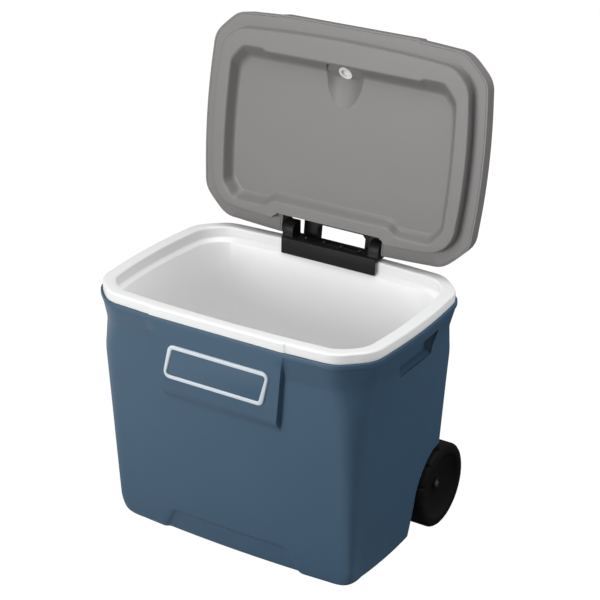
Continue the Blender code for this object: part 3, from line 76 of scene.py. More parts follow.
def place_camera():
    azimuth = math.radians(AZIMUTH_DEG)
    elevation = math.radians(ELEVATION_DEG)
    roll = math.radians(ROLL_DEG)
    back = Vector((math.sin(azimuth) * math.cos(elevation),
                   -math.cos(azimuth) * math.cos(elevation), math.sin(elevation)))
    right = Vector((math.cos(azimuth), math.sin(azimuth), 0.0))
    up = back.cross(right)
    rolled_right = right * math.cos(roll) + up * math.sin(roll)
    rolled_up = up * math.cos(roll) - right * math.sin(roll)
    data = bpy.data.cameras.new("photo_camera")
    data.sensor_width = SENSOR_MM
    data.lens = SENSOR_MM * FOCAL_SHARE
    data.clip_start = CLIP_NEAR
    data.clip_end = CLIP_FAR
    camera = bpy.data.objects.new("photo_camera", data)
    bpy.context.scene.collection.objects.link(camera)
    turn = Matrix((rolled_right, rolled_up, back)).transposed().to_4x4()
    camera.matrix_world = Matrix.Translation(AIM + SHIFT + back * DISTANCE) @ turn
    bpy.context.scene.camera = camera
    return camera


camera = place_camera()
print("lens", round(camera.data.lens, 1), "mm, camera at", [round(v, 3) for v in camera.location])

# %% [markdown]
# ## Studio
# Moulded plastic is read by its soft highlights, so the light is a big soft key from the
# left front, a lamp overhead, a weaker one from the right behind and a pale room all round.
# Nothing is brighter than it needs to be: a colour on the cooler renders about as it is
# written. The white of the picture comes from the floor's own colour, which the camera
# sees. Gloss sees the same floor as a card that is pale at the left and fades to the right,
# so that the cooler's right side stays as dark as a studio's unlit side leaves it. The
# lamps themselves are hidden from the camera.

# %% A small wrapper for shader sockets
NOISE_DETAIL = 2.0


class Wire:
    """A shader socket that can be used in a Python expression."""

    def __init__(self, graph, socket):
        self.graph = graph
        self.socket = socket

    def join(self, operation, other):
        return self.graph.node("ShaderNodeMath", {"operation": operation}, {0: self, 1: other})

    def __add__(self, other):
        return self.join("ADD", other)

    def __sub__(self, other):
        return self.join("SUBTRACT", other)

    def __mul__(self, other):
        return self.join("MULTIPLY", other)


class Finish:
    """One material, with its nodes made by a single method."""

    def __init__(self, name):
        self.material = bpy.data.materials.new(name)
        self.material.use_nodes = True
        self.tree = self.material.node_tree
        self.shader = self.tree.nodes["Principled BSDF"]

    def node(self, kind, settings=None, inputs=None, output=0):
        made = self.tree.nodes.new(kind)
        for key, value in (settings or {}).items():
            setattr(made, key, value)
        for key, value in (inputs or {}).items():
            self.feed(made.inputs[key], value)
        return Wire(self, made.outputs[output])

    def feed(self, socket, value):
        if isinstance(value, Wire):
            self.tree.links.new(value.socket, socket)
        else:
            socket.default_value = value

    def place(self):
        return self.node("ShaderNodeTexCoord", output="Object")

    def noise(self, scale, rough=0.5):
        return self.node("ShaderNodeTexNoise", {}, {"Vector": self.place(), "Scale": scale,
                                                    "Detail": NOISE_DETAIL, "Roughness": rough})

    def blend_colour(self, mask, low, high):
        made = self.tree.nodes.new("ShaderNodeMix")
        made.data_type = "RGBA"
        self.feed(made.inputs["Factor"], mask)
        self.feed(made.inputs["A"], low)
        self.feed(made.inputs["B"], high)
        return Wire(self, made.outputs["Result"])

    def bump(self, height, strength, distance):
        return self.node("ShaderNodeBump", {}, {"Height": height, "Strength": strength,
                                                "Distance": distance})

    def set(self, **values):
        for key, value in values.items():
            self.feed(self.shader.inputs[key.replace("_", " ")], value)
        return self.material


print("a wire adds, subtracts and multiplies; noises have detail", NOISE_DETAIL)

# %% Floor, backdrop and lights
WHITE = (1.0, 1.0, 1.0, 1.0)
FLOOR_GREY = (0.45, 0.45, 0.45, 1.0)
WHITE_SHARE, WHITE_STRENGTH = 0.93, 1.08
LEFT_X, LEFT_Y = -0.8, 0.6
FADE_SLOPE, FADE_MIDDLE = 0.9, 0.25
FADE_LOW, FADE_HIGH = 0.04, 0.95
FLOOR_SIZE = 40.0
LIGHT_AIM = Vector((0.0, 0.0, 0.35))
ROOM_COLOUR, ROOM_STRENGTH = (0.93, 0.95, 1.0, 1.0), 0.20


def white_card(name):
    """White to the camera, a card that fades from left to right to gloss, else grey."""
    card = Finish(name)
    tree = card.tree
    grey = card.node("ShaderNodeBsdfDiffuse", {}, {"Color": FLOOR_GREY})
    white = card.node("ShaderNodeEmission", {}, {"Color": WHITE, "Strength": WHITE_STRENGTH})
    axes = tree.nodes.new("ShaderNodeSeparateXYZ")
    card.feed(axes.inputs[0], card.place())
    left = Wire(card, axes.outputs["X"]) * LEFT_X - Wire(card, axes.outputs["Y"]) * LEFT_Y
    fade = card.node("ShaderNodeClamp", {}, {"Value": left * FADE_SLOPE + FADE_MIDDLE,
                                             "Min": FADE_LOW, "Max": FADE_HIGH})
    sheen = card.node("ShaderNodeEmission", {}, {"Color": WHITE, "Strength": fade})
    path = tree.nodes.new("ShaderNodeLightPath")
    straight = Wire(card, path.outputs["Is Camera Ray"])
    straight = straight + Wire(card, path.outputs["Is Transmission Ray"])
    glossy = Wire(card, path.outputs["Is Glossy Ray"])
    other = card.node("ShaderNodeMixShader", {}, {0: glossy, 1: grey, 2: sheen})
    mixed = card.node("ShaderNodeMixShader", {}, {0: straight * WHITE_SHARE, 1: other, 2: white})
    tree.links.new(mixed.socket, tree.nodes["Material Output"].inputs["Surface"])
    return card.material


bpy.ops.object.select_all(action="DESELECT")
bpy.ops.mesh.primitive_plane_add(size=FLOOR_SIZE, location=(0.0, 0.0, 0.0))
floor = bpy.context.object
floor.name = "studio_floor"
floor.data.materials.append(white_card("studio_white"))


def soft_light(name, place, size, power):
    """A rectangular lamp that faces the middle of the cooler."""
    data = bpy.data.lights.new(name, "AREA")
    data.shape = "RECTANGLE"
    data.size, data.size_y = size
    data.energy = power
    lamp = bpy.data.objects.new(name, data)
    bpy.context.scene.collection.objects.link(lamp)
    lamp.location = place
    aim = LIGHT_AIM - Vector(place)
    lamp.rotation_mode = "QUATERNION"
    lamp.rotation_quaternion = aim.to_track_quat("-Z", "Y")
    lamp.visible_camera = False
    return lamp


soft_light("key_light", (-1.0, -2.9, 1.05), (1.7, 1.3), 62.0)
side_lamp = soft_light("side_light", (2.2, 1.3, 0.9), (1.4, 1.4), 30.0)
side_lamp.visible_glossy = False
soft_light("top_light", (0.1, -0.3, 2.6), (1.8, 1.6), 40.0)

world = bpy.data.worlds.new("pale_room")
bpy.context.scene.world = world
world.use_nodes = True
world_tree = world.node_tree
room = world_tree.nodes["Background"]
room.inputs["Color"].default_value = ROOM_COLOUR
room.inputs["Strength"].default_value = ROOM_STRENGTH
backdrop = world_tree.nodes.new("ShaderNodeBackground")
backdrop.inputs["Color"].default_value = WHITE
backdrop.inputs["Strength"].default_value = 1.0
ray = world_tree.nodes.new("ShaderNodeLightPath")
either = world_tree.nodes.new("ShaderNodeMixShader")
world_tree.links.new(ray.outputs["Is Camera Ray"], either.inputs[0])
world_tree.links.new(room.outputs[0], either.inputs[1])
world_tree.links.new(backdrop.outputs[0], either.inputs[2])
world_tree.links.new(either.outputs[0], world_tree.nodes["World Output"].inputs["Surface"])
bpy.context.scene.view_settings.view_transform = "Standard"

# %% [markdown]
# ## Finishes
# The tub and the lid are blow-moulded polyethylene. It is satin, with a very fine grain
# from the mould, and its gloss wanders a little where the wall cooled slower. Two noises do
# that: a large slow one for colour and gloss, and a tiny one for the grain bump.

# %% Plastics
DRIFT_SCALE, GRAIN_SCALE = 7.0, 1400.0
GRAIN_SHARE, GRAIN_DEPTH = 0.6, 0.0002
GLOSS_DRIFT, GLOSS_GRAIN = 0.10, 0.03
DULL_SPECULAR = 0.25


def moulded(name, colour, rough, grain=0.10, drift=0.05):
    """Satin moulded plastic with a slow colour drift and a fine grain."""
    skin = Finish(name)
    slow = skin.noise(DRIFT_SCALE)
    fine = skin.noise(GRAIN_SCALE, GRAIN_SHARE)
    deep = tuple(c * (1.0 - drift) for c in colour) + (1.0,)
    light = tuple(min(1.0, c * (1.0 + drift)) for c in colour) + (1.0,)
    return skin.set(Base_Color=skin.blend_colour(slow, deep, light),
                    Roughness=slow * GLOSS_DRIFT + (rough - 0.05) + fine * GLOSS_GRAIN,
                    Normal=skin.bump(fine, grain, GRAIN_DEPTH))


BLUE = (0.041, 0.091, 0.150)
blue_shell = moulded("blue_shell", BLUE, 0.42)
blue_plate = moulded("blue_plate", BLUE, 0.38)
grey_lid = moulded("grey_lid", (0.180, 0.173, 0.169), 0.42)
white_tub = moulded("white_tub", (0.84, 0.84, 0.835), 0.30, grain=0.05, drift=0.01)
white_stopper = moulded("white_stopper", (0.80, 0.80, 0.79), 0.28, grain=0.05, drift=0.01)
black_hinge = moulded("black_hinge", (0.007, 0.007, 0.0073), 0.46, grain=0.16)
black_grip = moulded("black_grip", (0.008, 0.008, 0.0083), 0.48, grain=0.18)
black_clip = moulded("black_clip", (0.016, 0.016, 0.0165), 0.50, grain=0.18)
pale_border = moulded("pale_border", (0.66, 0.72, 0.77), 0.34, grain=0.04, drift=0.01)
black_wheel = moulded("black_wheel", (0.0060, 0.0060, 0.0062), 0.58, grain=0.25)
black_rubber = moulded("black_rubber", (0.018, 0.018, 0.018), 0.80, grain=0.4)
for dull in (black_hinge, black_grip, black_wheel):
    shader = dull.node_tree.nodes["Principled BSDF"]
    shader.inputs["Specular IOR Level"].default_value = DULL_SPECULAR
print("plastics", len(bpy.data.materials))

# %% [markdown]
# The hidden foam is a pale, open-textured solid. The metals are three: bright axle steel
# with fine turning marks, blackened screws, and the anodised tubes of the handle with marks
# that run along them.

# %% Foam and metals
CELL_SCALE, CELL_DEPTH = 900.0, 0.0008
MARK_SCALE, MARK_DEPTH = 600.0, 0.0001
foam = Finish("pale_foam")
cells = foam.node("ShaderNodeTexVoronoi", {}, {"Vector": foam.place(), "Scale": CELL_SCALE})
cell_colour = foam.blend_colour(cells, (0.62, 0.55, 0.38, 1.0), (0.80, 0.74, 0.56, 1.0))
pale_foam = foam.set(Base_Color=cell_colour, Roughness=0.92, Normal=foam.bump(cells, 0.35, CELL_DEPTH))


def metal(name, colour, rough, stretch):
    """Metal whose fine marks run along the long direction of stretch."""
    skin = Finish(name)
    drawn_out = skin.node("ShaderNodeMapping", {}, {"Vector": skin.place(), "Scale": stretch})
    marks = skin.node("ShaderNodeTexNoise", {}, {"Vector": drawn_out, "Scale": MARK_SCALE,
                                                 "Detail": NOISE_DETAIL})
    dark = tuple(c * 0.86 for c in colour) + (1.0,)
    return skin.set(Base_Color=skin.blend_colour(marks, dark, colour + (1.0,)), Metallic=1.0,
                    Roughness=marks * 0.08 + rough, Normal=skin.bump(marks, 0.06, MARK_DEPTH))


bright_axle = metal("bright_axle", (0.62, 0.62, 0.62), 0.26, (4.0, 1.0, 1.0))
dark_screw = metal("dark_screw", (0.10, 0.10, 0.105), 0.34, (1.0, 1.0, 1.0))
grey_tube = metal("grey_tube", (0.42, 0.43, 0.44), 0.30, (1.0, 1.0, 0.06))
print("finishes", len(bpy.data.materials))

# %% [markdown]
# ## Outlines
# A moulded tub is a stack of plan outlines: four gently bulged sides joined by chamfered
# corners, whose two bends are rounded. One template gives the outline at any height, so
# every skin below is grown from it and stays true to the CAD box. Steps in the walls, such
# as the edge of the front panel, are S-curves across a few stations, as a mould radius
# would leave them.

# %% Plan outline template
BEND_STATIONS = 5
FACE_STATIONS = 5
EDGE_STATIONS = 4
RUN_STATIONS = 6
PANEL_STATIONS = 14
SIDE_STATIONS = 16
OFFSET_SHARE = 0.586
BULGE_X, BULGE_Y = 0.0057, 0.0070
BEND, PUFF = 0.021, 0.0035
BEND_MOST = 0.45


def mix(low, high, share):
    return low + (high - low) * share


def ease(share):
    share = min(1.0, max(0.0, share))
    return share * share * (3.0 - 2.0 * share)


def between(low, high, count):
    return [mix(low, high, i / count) for i in range(1, count + 1)]


def side_line(run, half, panel, bulge):
    """Stations of one long side, with an optional stepped middle panel."""
    middle, edge, out = panel
    marks = [-run] + between(-run, -middle - edge, RUN_STATIONS)
    marks += between(-middle - edge, -middle, EDGE_STATIONS)
    marks += between(-middle, middle, PANEL_STATIONS)
    marks += between(middle, middle + edge, EDGE_STATIONS)
    marks += between(middle + edge, run, RUN_STATIONS)
    line = []
    for x in marks:
        wall = half - bulge * (x / run) ** 2
        line.append((x, wall + out(x, wall) * ease((middle + edge - abs(x)) / edge)))
    return line


def corner_arc(before, after, bend, puff):
    """Chamfered corner: a rounded bend, a slightly puffed face and a second bend."""
    a, b = Vector(before[-1]), Vector(after[0])
    turn_a = a + (a - Vector(before[-2])).normalized() * bend
    turn_b = b - (Vector(after[1]) - b).normalized() * bend
    face = turn_b - turn_a
    out = Vector((face.y, -face.x)).normalized()
    reach = min(bend / face.length, BEND_MOST)
    start, stop = turn_a.lerp(turn_b, reach), turn_b.lerp(turn_a, reach)
    points = []
    for i in range(1, BEND_STATIONS + 1):
        t = i / BEND_STATIONS
        points.append(a.lerp(turn_a, t).lerp(turn_a.lerp(start, t), t))
    points += [start.lerp(stop, i / FACE_STATIONS) for i in range(1, FACE_STATIONS)]
    for i in range(BEND_STATIONS, 0, -1):
        t = i / BEND_STATIONS
        points.append(b.lerp(turn_b, t).lerp(turn_b.lerp(stop, t), t))
    chord = b - a
    for point in points:
        share = min(max((point - a).dot(chord) / chord.length_squared, 0.0), 1.0)
        point += out * puff * 4.0 * share * (1.0 - share)
    return [tuple(point) for point in points]


NO_PANEL = (0.100, 0.004, lambda x, wall: 0.0)


def plan(half_x, half_y, corner_x, corner_y, z, shift_y=0.0, bulge_x=BULGE_X, bulge_y=BULGE_Y,
         front=NO_PANEL, rear=NO_PANEL, bend=BEND, puff=PUFF):
    """Outline at one height: four sides and four corners, counted round from the front."""
    run_x = half_x - corner_x
    run_y = half_y - corner_y
    front_line = [(x, -y) for x, y in side_line(run_x, half_y, front, bulge_y)]
    rear_line = [(-x, y) for x, y in side_line(run_x, half_y, rear, bulge_y)]
    ys = [-run_y] + between(-run_y, run_y, SIDE_STATIONS)
    right_line = [(half_x - bulge_x * (y / run_y) ** 2, y) for y in ys]
    left_line = [(-x, -y) for x, y in right_line]
    sides = [front_line, right_line, rear_line, left_line]
    points = []
    for i, line in enumerate(sides):
        points += line + corner_arc(line, sides[(i + 1) % len(sides)], bend, puff)
    return [(x, y + shift_y, z) for x, y in points]


print("points in one outline", len(plan(0.28, 0.198, 0.06, 0.067, 0.0)))

# %% [markdown]
# ## Growing a skin
# Each skin starts as a filled circle with as many corners as the outline. In edit mode the
# face is extruded again and again, and each time its corners are set on the next outline.
# This is the same as pulling a profile up by hand, but every ring lands exactly on the
# template. The face that is left at the end closes the skin.

# %% Tools for skins and cutters
WELD = 0.00002
FULL_TURN = (0.0, 352.5, 47)
EDGE_DEG, EDGE_SEGMENTS = 40.0, 2


def select_only(item):
    bpy.ops.object.select_all(action="DESELECT")
    item.select_set(True)
    bpy.context.view_layer.objects.active = item


def place_ring(mesh, ring):
    grid = bmesh.from_edit_mesh(mesh)
    station = grid.verts.layers.int["station"]
    for vert in grid.verts:
        if vert.select:
            vert.co = ring[vert[station]]
    bmesh.update_edit_mesh(mesh)


def grow(name, rings):
    """A closed skin through a list of equal rings."""
    bpy.ops.object.select_all(action="DESELECT")
    bpy.ops.mesh.primitive_circle_add(vertices=len(rings[0]), radius=1.0, fill_type="NGON")
    item = bpy.context.object
    item.name = name
    bpy.ops.object.mode_set(mode="EDIT")
    grid = bmesh.from_edit_mesh(item.data)
    station = grid.verts.layers.int.new("station")
    for i, vert in enumerate(grid.verts):
        vert[station] = i
    bpy.ops.mesh.select_all(action="SELECT")
    place_ring(item.data, rings[0])
    for ring in rings[1:]:
        bpy.ops.mesh.extrude_region_move()
        place_ring(item.data, ring)
    bpy.ops.mesh.select_all(action="SELECT")
    bpy.ops.mesh.normals_make_consistent(inside=False)
    bpy.ops.object.mode_set(mode="OBJECT")
    return item


def carve(target, *tools):
    for tool in tools:
        change = target.modifiers.new("carve", "BOOLEAN")
        change.object = tool
        change.operation = "DIFFERENCE"
        change.solver = "EXACT"
        select_only(target)
        bpy.ops.object.modifier_apply(modifier=change.name)
        bpy.data.objects.remove(tool, do_unlink=True)
    return target


def prism_x(name, outline, low, high):
    """A bar along X with the (y, z) outline."""
    return grow(name, [[(x, y, z) for y, z in outline] for x in (low, high)])


def arc(centre_a, centre_b, radius, start_deg, end_deg, steps):
    marks = [math.radians(mix(start_deg, end_deg, i / steps)) for i in range(steps + 1)]
    return [(centre_a + radius * math.cos(t), centre_b + radius * math.sin(t)) for t in marks]


def drill(name, radius, low, high, y, z):
    """A round bar along X."""
    return prism_x(name, arc(y, z, radius, *FULL_TURN), low, high)


def settle(item, body, material, slot, *stood_for, smooth_deg=32.0, drawn=True):
    """Weld, shade, paint and hang a finished piece on its body."""
    select_only(item)
    if drawn:
        item.location = SHIFT
        bpy.ops.object.transform_apply(location=True, rotation=True, scale=True)
    bpy.ops.object.mode_set(mode="EDIT")
    bpy.ops.mesh.select_all(action="SELECT")
    bpy.ops.mesh.remove_doubles(threshold=WELD)
    bpy.ops.mesh.normals_make_consistent(inside=False)
    bpy.ops.object.mode_set(mode="OBJECT")
    item.data.materials.clear()
    item.data.materials.append(material)
    select_only(item)
    bpy.ops.object.shade_smooth_by_angle(angle=math.radians(smooth_deg))
    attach(item, body)
    if stood_for:
        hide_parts(*stood_for)
    print(item.name, len(item.data.polygons), "faces")
    return item


def flat_faces_first(item):
    """Let the large flat faces decide how the light falls near their edges."""
    change = item.modifiers.new("weighted", "WEIGHTED_NORMAL")
    change.keep_sharp = True
    select_only(item)
    bpy.ops.object.modifier_apply(modifier=change.name)


def round_edges(item, width):
    change = item.modifiers.new("round", "BEVEL")
    change.width = width
    change.segments = EDGE_SEGMENTS
    change.limit_method = "ANGLE"
    change.angle_limit = math.radians(EDGE_DEG)
    select_only(item)
    bpy.ops.object.modifier_apply(modifier=change.name)
    return item


print("hard edges over", EDGE_DEG, "degrees are rounded in", EDGE_SEGMENTS, "steps")

# %% [markdown]
# ## Body skin
# The blue outside is one moulding: a drafted tub with a flare and a thin strip under the
# top edge, a raised front panel, a shallow toe recess at the foot and a flat rear panel for
# the tow handle. Heights are measured from the ground, and every size that changes with
# height is read off a line through a few marks.

# %% Body template
FOOT_Z, SHELL_TOP, RIM_TOP = 0.008, 0.4452, 0.4628
TOP_X, TOP_Y = 0.280, 0.1978
FLARE = 0.0125
FOOT_X, FOOT_Y, FOOT_BACK = 0.2400, 0.1541, 0.0037
FLARE_Z, FLARE_TOP = 0.396, 0.436
STRIP = 0.0012
TOE_DEEP = 0.0055
REAR_Y, REAR_Z, REAR_IN, REAR_TILT_DEG = 0.2165, 0.4750, 0.0118, 6.98
WALL = 0.0032
FOOT_ROUND, FOOT_CUT = 0.046, 0.028
SOFTENING = (-1.0, -0.5, 0.0, 0.5, 1.0)


def along(z, marks, soft=0.0):
    """Value at z on a line through (height, value) marks, its bends softened."""
    total = 0.0
    for k in SOFTENING:
        at = z + k * soft
        value = marks[-1][1]
        if at <= marks[0][0]:
            value = marks[0][1]
        else:
            for (z_a, a), (z_b, b) in zip(marks[:-1], marks[1:]):
                if at <= z_b:
                    value = mix(a, b, (at - z_a) / (z_b - z_a))
                    break
        total += value / len(SOFTENING)
    return total


def corner_marks(foot, waist, top):
    return [(FOOT_Z, foot), (0.345, waist), (FLARE_TOP, top)]


def body_ring(z, inset, extra=0.0, level=None):
    """Outline of the tub, set in by inset; extra rounds the foot and the top edge."""
    at = z if level is None else level
    share = along(at, [(FOOT_Z, 0.0), (FLARE_Z, 1.0)])
    total = inset + extra
    flare = along(at, [(FLARE_Z, 0.0), (FLARE_TOP, FLARE - STRIP)], 0.004)
    flare += along(at, [(0.4366, 0.0), (0.4374, STRIP)])
    half_x = mix(FOOT_X, TOP_X - FLARE, share) + flare - total
    half_y = mix(FOOT_Y, TOP_Y - FLARE, share) + flare - total
    corner_x = along(at, corner_marks(0.028, 0.0545, 0.083), 0.008) - OFFSET_SHARE * total
    corner_y = along(at, corner_marks(0.035, 0.0560, 0.082), 0.008) - OFFSET_SHARE * total
    foot = min(1.0, max(0.0, 1.0 - (at - FOOT_Z) / FOOT_ROUND))
    corner_x += FOOT_CUT * (1.0 - math.sqrt(1.0 - foot * foot))
    corner_y += FOOT_CUT * (1.0 - math.sqrt(1.0 - foot * foot))
    shift = FOOT_BACK * (1.0 - share)
    middle = along(at, [(FOOT_Z, 0.134), (0.060, 0.108), (0.293, 0.113), (SHELL_TOP, 0.130)])
    front_y = along(at, [(0.312, 0.1868), (FLARE_TOP, 0.1944)], 0.004)
    panel_on = ease(along(at, [(0.290, 0.0), (0.315, 1.0)]))
    toe_on = ease(along(at, [(0.051, 1.0), (0.061, 0.0)]))
    step = along(at, [(0.051, 0.0110), (0.062, 0.0042)])
    rear_on = ease(along(at, [(0.029, 0.0), (0.043, 1.0)]))
    rear_on *= ease(along(at, [(0.403, 1.0), (0.417, 0.0)]))
    rear_y = REAR_Y + (at - REAR_Z) * math.tan(math.radians(REAR_TILT_DEG)) - REAR_IN

    def front_out(x, wall):
        return panel_on * (front_y + shift - total - wall) - toe_on * TOE_DEEP

    def rear_out(x, wall):
        return rear_on * (rear_y - shift - total - wall)

    return plan(half_x, half_y, corner_x, corner_y, z, shift,
                front=(middle, step, front_out), rear=(0.094, 0.0045, rear_out))


FOOT_LEVELS = [0.021, 0.024, 0.029, 0.033, 0.038, 0.043, 0.047]
TOE_LEVELS = [0.051, 0.053, 0.055, 0.057, 0.059, 0.061, 0.063]
WALL_LEVELS = [0.085, 0.120, 0.160, 0.200, 0.240, 0.270, 0.288]
PANEL_LEVELS = [0.290, 0.294, 0.298, 0.302, 0.306, 0.310, 0.3135, 0.317]
WAIST_LEVELS = [0.330, 0.338, 0.345, 0.352, 0.365, 0.385, 0.391]
FLARE_LEVELS = [0.394, 0.397, 0.400, 0.403, 0.407, 0.412, 0.417, 0.422, 0.428, 0.431, 0.434]
STRIP_LEVELS = [0.4364, 0.4368, 0.4372, 0.4376]
LEVELS = (FOOT_LEVELS + TOE_LEVELS + WALL_LEVELS + PANEL_LEVELS + WAIST_LEVELS + FLARE_LEVELS
          + STRIP_LEVELS)
FOOT_EDGE = 0.011


def body_rings(inset, low, top, top_round):
    """Rings from the rounded foot to the rounded top edge."""
    rings = []
    radius = FOOT_EDGE - inset * 0.5
    for i in range(6):
        angle = math.radians(18.0 * i)
        level = low + radius * (1.0 - math.cos(angle))
        rings.append(body_ring(level, inset, radius * (1.0 - math.sin(angle)), level))
    rings += [body_ring(z, inset) for z in LEVELS]
    for i in range(4):
        angle = math.radians(30.0 * i)
        rings.append(body_ring(top - top_round * (1.0 - math.sin(angle)), inset,
                               top_round * (1.0 - math.cos(angle)), top - top_round))
    return rings


print("rings in the body skin", len(body_rings(0.0, FOOT_Z, SHELL_TOP, 0.0010)))

# %% [markdown]
# Two skins, outer and inner, are grown from the template and one is taken from the other,
# as the real wall is thin. The wheel pockets, hand grips and axle slot are pressed into
# both, and those of the inner skin are larger by the wall.

# %% Pockets, grips and slot
WHEEL_R, WHEEL_Y, WHEEL_OUT, WHEEL_WIDE = 0.0775, AXLE_Y, 0.2565, 0.044
POCKET_ROOM, POCKET_SIDE = 0.0055, 0.004
PAST = 0.030
GRIP_TOP, GRIP_FOOT, GRIP_Y = 0.064, 0.055, 0.004
GRIP_HIGH, GRIP_LOW, GRIP_CORNER = 0.4215, 0.3790, 0.005
GRIP_STEPS = 5
SLOT_HALF, SLOT_FOOT = 0.0085, 0.006


def wheel_pocket(side, grown):
    """Room for a wheel, open below, behind and at the side."""
    radius = WHEEL_R + POCKET_ROOM + grown
    outline = arc(WHEEL_Y, WHEEL_R, radius, 180.0, 30.0, 40)
    y, z = outline[-1]
    outline += [(y + PAST, z), (y + PAST, -0.020), (WHEEL_Y - radius - 0.014, 0.006)]
    inside = WHEEL_OUT - WHEEL_WIDE - POCKET_SIDE - grown
    low, high = sorted((side * inside, side * (TOP_X + PAST)))
    return prism_x("pocket", outline, low, high)


def grip_pocket(side, grown):
    """A trapezoid recess whose back end rises behind the flare."""
    stages = [(0.027 + grown, 0.006, -0.004), (0.022, 0.0035, -0.0012), (0.0167, 0.0, 0.0),
              (-0.008, 0.0, 0.0)]
    rings = []
    for depth, rise, out in stages:
        top, foot = GRIP_TOP + grown + out, GRIP_FOOT + grown + out
        high, low = GRIP_HIGH + grown + rise, GRIP_LOW - grown + rise
        corners = [(-foot + GRIP_CORNER, low + GRIP_CORNER, 180.0),
                   (foot - GRIP_CORNER, low + GRIP_CORNER, 270.0),
                   (top - GRIP_CORNER, high - GRIP_CORNER, 0.0),
                   (-top + GRIP_CORNER, high - GRIP_CORNER, 90.0)]
        outline = []
        for y, z, start in corners:
            outline += arc(y, z, GRIP_CORNER, start, start + 90.0, GRIP_STEPS)
        rings.append([(side * (TOP_X - depth), y + GRIP_Y, z) for y, z in outline])
    return grow("grip", rings)


def axle_slot(grown):
    half = SLOT_HALF + grown
    outline = [(WHEEL_Y - half, SLOT_FOOT), (WHEEL_Y + half, SLOT_FOOT)]
    outline += arc(WHEEL_Y, WHEEL_R, half, 0.0, 180.0, 20)
    reach = WHEEL_OUT - WHEEL_WIDE
    return prism_x("slot", outline, -reach, reach)


def pressed_in(grown):
    """Cutters for everything that is pressed into the walls."""
    return (wheel_pocket(1, grown), wheel_pocket(-1, grown), grip_pocket(1, grown),
            grip_pocket(-1, grown), axle_slot(grown))


body_skin = grow("body_skin", body_rings(0.0, FOOT_Z, SHELL_TOP, 0.0010))
carve(body_skin, *pressed_in(0.0))
round_edges(body_skin, 0.0012)
inner = grow("inner", body_rings(WALL, FOOT_Z + WALL, SHELL_TOP + 0.002, 0.0))
carve(inner, *pressed_in(WALL))
carve(body_skin, inner)
print("shell faces", len(body_skin.data.polygons))

# %% [markdown]
# ## Inner tub
# The white tub is vacuum-formed in one piece with its rim. The rim is a rounded band that
# laps over the blue edge. Inside it a short straight seat takes the plug of the lid, and
# below a small slope the walls run down with draft to a rounded floor.

# %% Tub and rim
TUB_FLOOR = 0.094
TUB_X, TUB_Y, TUB_CORNER, TUB_PUFF = 0.184, 0.119, 0.034, 0.0022
TUB_WALL = 0.0025
MOUTH_IN, SEAT_IN = 0.029, 0.0258
RIM_CORNER_X, RIM_CORNER_Y = 0.083, 0.082
RIM_EDGE, RIM_ROUND, RIM_SPLIT = 0.0036, 0.0035, 0.4600
FILLET_OUT, FILLET_IN = 0.018, 0.0155
ROUND_STEPS = 6


def tub_ring(z, grown, foot_in=0.0):
    """Outline of the tub's inside, with the seat of the plug near its top."""
    share = (z - TUB_FLOOR) / (RIM_TOP - TUB_FLOOR)
    seat = along(z, [(0.4368, 0.0), (0.4433, 1.0)], 0.001)
    half_x = mix(mix(TUB_X, TOP_X - MOUTH_IN, share), TOP_X - SEAT_IN, seat) + grown - foot_in
    half_y = mix(mix(TUB_Y, TOP_Y - MOUTH_IN, share), TOP_Y - SEAT_IN, seat) + grown - foot_in
    corner_x = mix(TUB_CORNER, RIM_CORNER_X - OFFSET_SHARE * MOUTH_IN, share) + OFFSET_SHARE * grown
    corner_y = mix(TUB_CORNER, RIM_CORNER_Y - OFFSET_SHARE * MOUTH_IN, share) + OFFSET_SHARE * grown
    return plan(half_x, half_y, corner_x, corner_y, z, puff=TUB_PUFF)


def rim_ring(z, inset):
    """Outline of the rim band, set in from the tub's top edge."""
    def out(x, wall):
        return TOP_Y - 0.005 - (inset - RIM_EDGE) - wall

    return plan(TOP_X - inset, TOP_Y - inset, RIM_CORNER_X - OFFSET_SHARE * inset,
                RIM_CORNER_Y - OFFSET_SHARE * inset, z, front=(0.130, 0.0042, out))


SEAT_LEVELS = [0.4358, 0.4368, 0.4378, 0.4400, 0.4422, 0.4433, 0.4443]
OUTER_LEVELS = [0.20, 0.32] + SEAT_LEVELS + [RIM_SPLIT]
INNER_LEVELS = SEAT_LEVELS[::-1] + [0.36, 0.28, 0.20, 0.14]


def foot_rings(low, radius, grown):
    """The rounded turn from the tub's floor into its walls."""
    rings = []
    for i in range(7):
        angle = math.radians(15.0 * i)
        rings.append(tub_ring(low + radius * (1.0 - math.cos(angle)), grown,
                              radius * (1.0 - math.sin(angle))))
    return rings


def tub_outside(grown):
    rings = foot_rings(TUB_FLOOR - grown, FILLET_OUT, grown)
    return rings + [tub_ring(z, grown) for z in OUTER_LEVELS]


def rim_round(ring, start_deg, turn_deg, edge):
    """Half of the rolled top of the rim."""
    rings = []
    for i in range(ROUND_STEPS):
        angle = math.radians(start_deg + turn_deg * i)
        rings.append(ring(RIM_TOP - RIM_ROUND * (1.0 - math.sin(angle)),
                          edge + RIM_ROUND * (1.0 - math.cos(angle))))
    return rings


rings = tub_outside(TUB_WALL)
rings += [rim_ring(RIM_SPLIT, 0.0064), rim_ring(SHELL_TOP + 0.0003, 0.0064),
          rim_ring(SHELL_TOP + 0.0003, 0.0040), rim_ring(SHELL_TOP + 0.0007, RIM_EDGE)]
rings += rim_round(rim_ring, 0.0, 18.0, RIM_EDGE) + rim_round(tub_ring, 90.0, -18.0, 0.0)
rings += [tub_ring(z, 0.0) for z in INNER_LEVELS]
rings += foot_rings(TUB_FLOOR, FILLET_IN, 0.0)[::-1]
tub_skin = grow("tub_skin", rings)
print("tub faces", len(tub_skin.data.polygons))

# %% [markdown]
# ## Foam and drain hole
# Foam fills the space between shell and tub, a hair away from both. The drain hole goes
# through all three, so it is drilled while they still stand together, and only then is
# each one settled on its body.

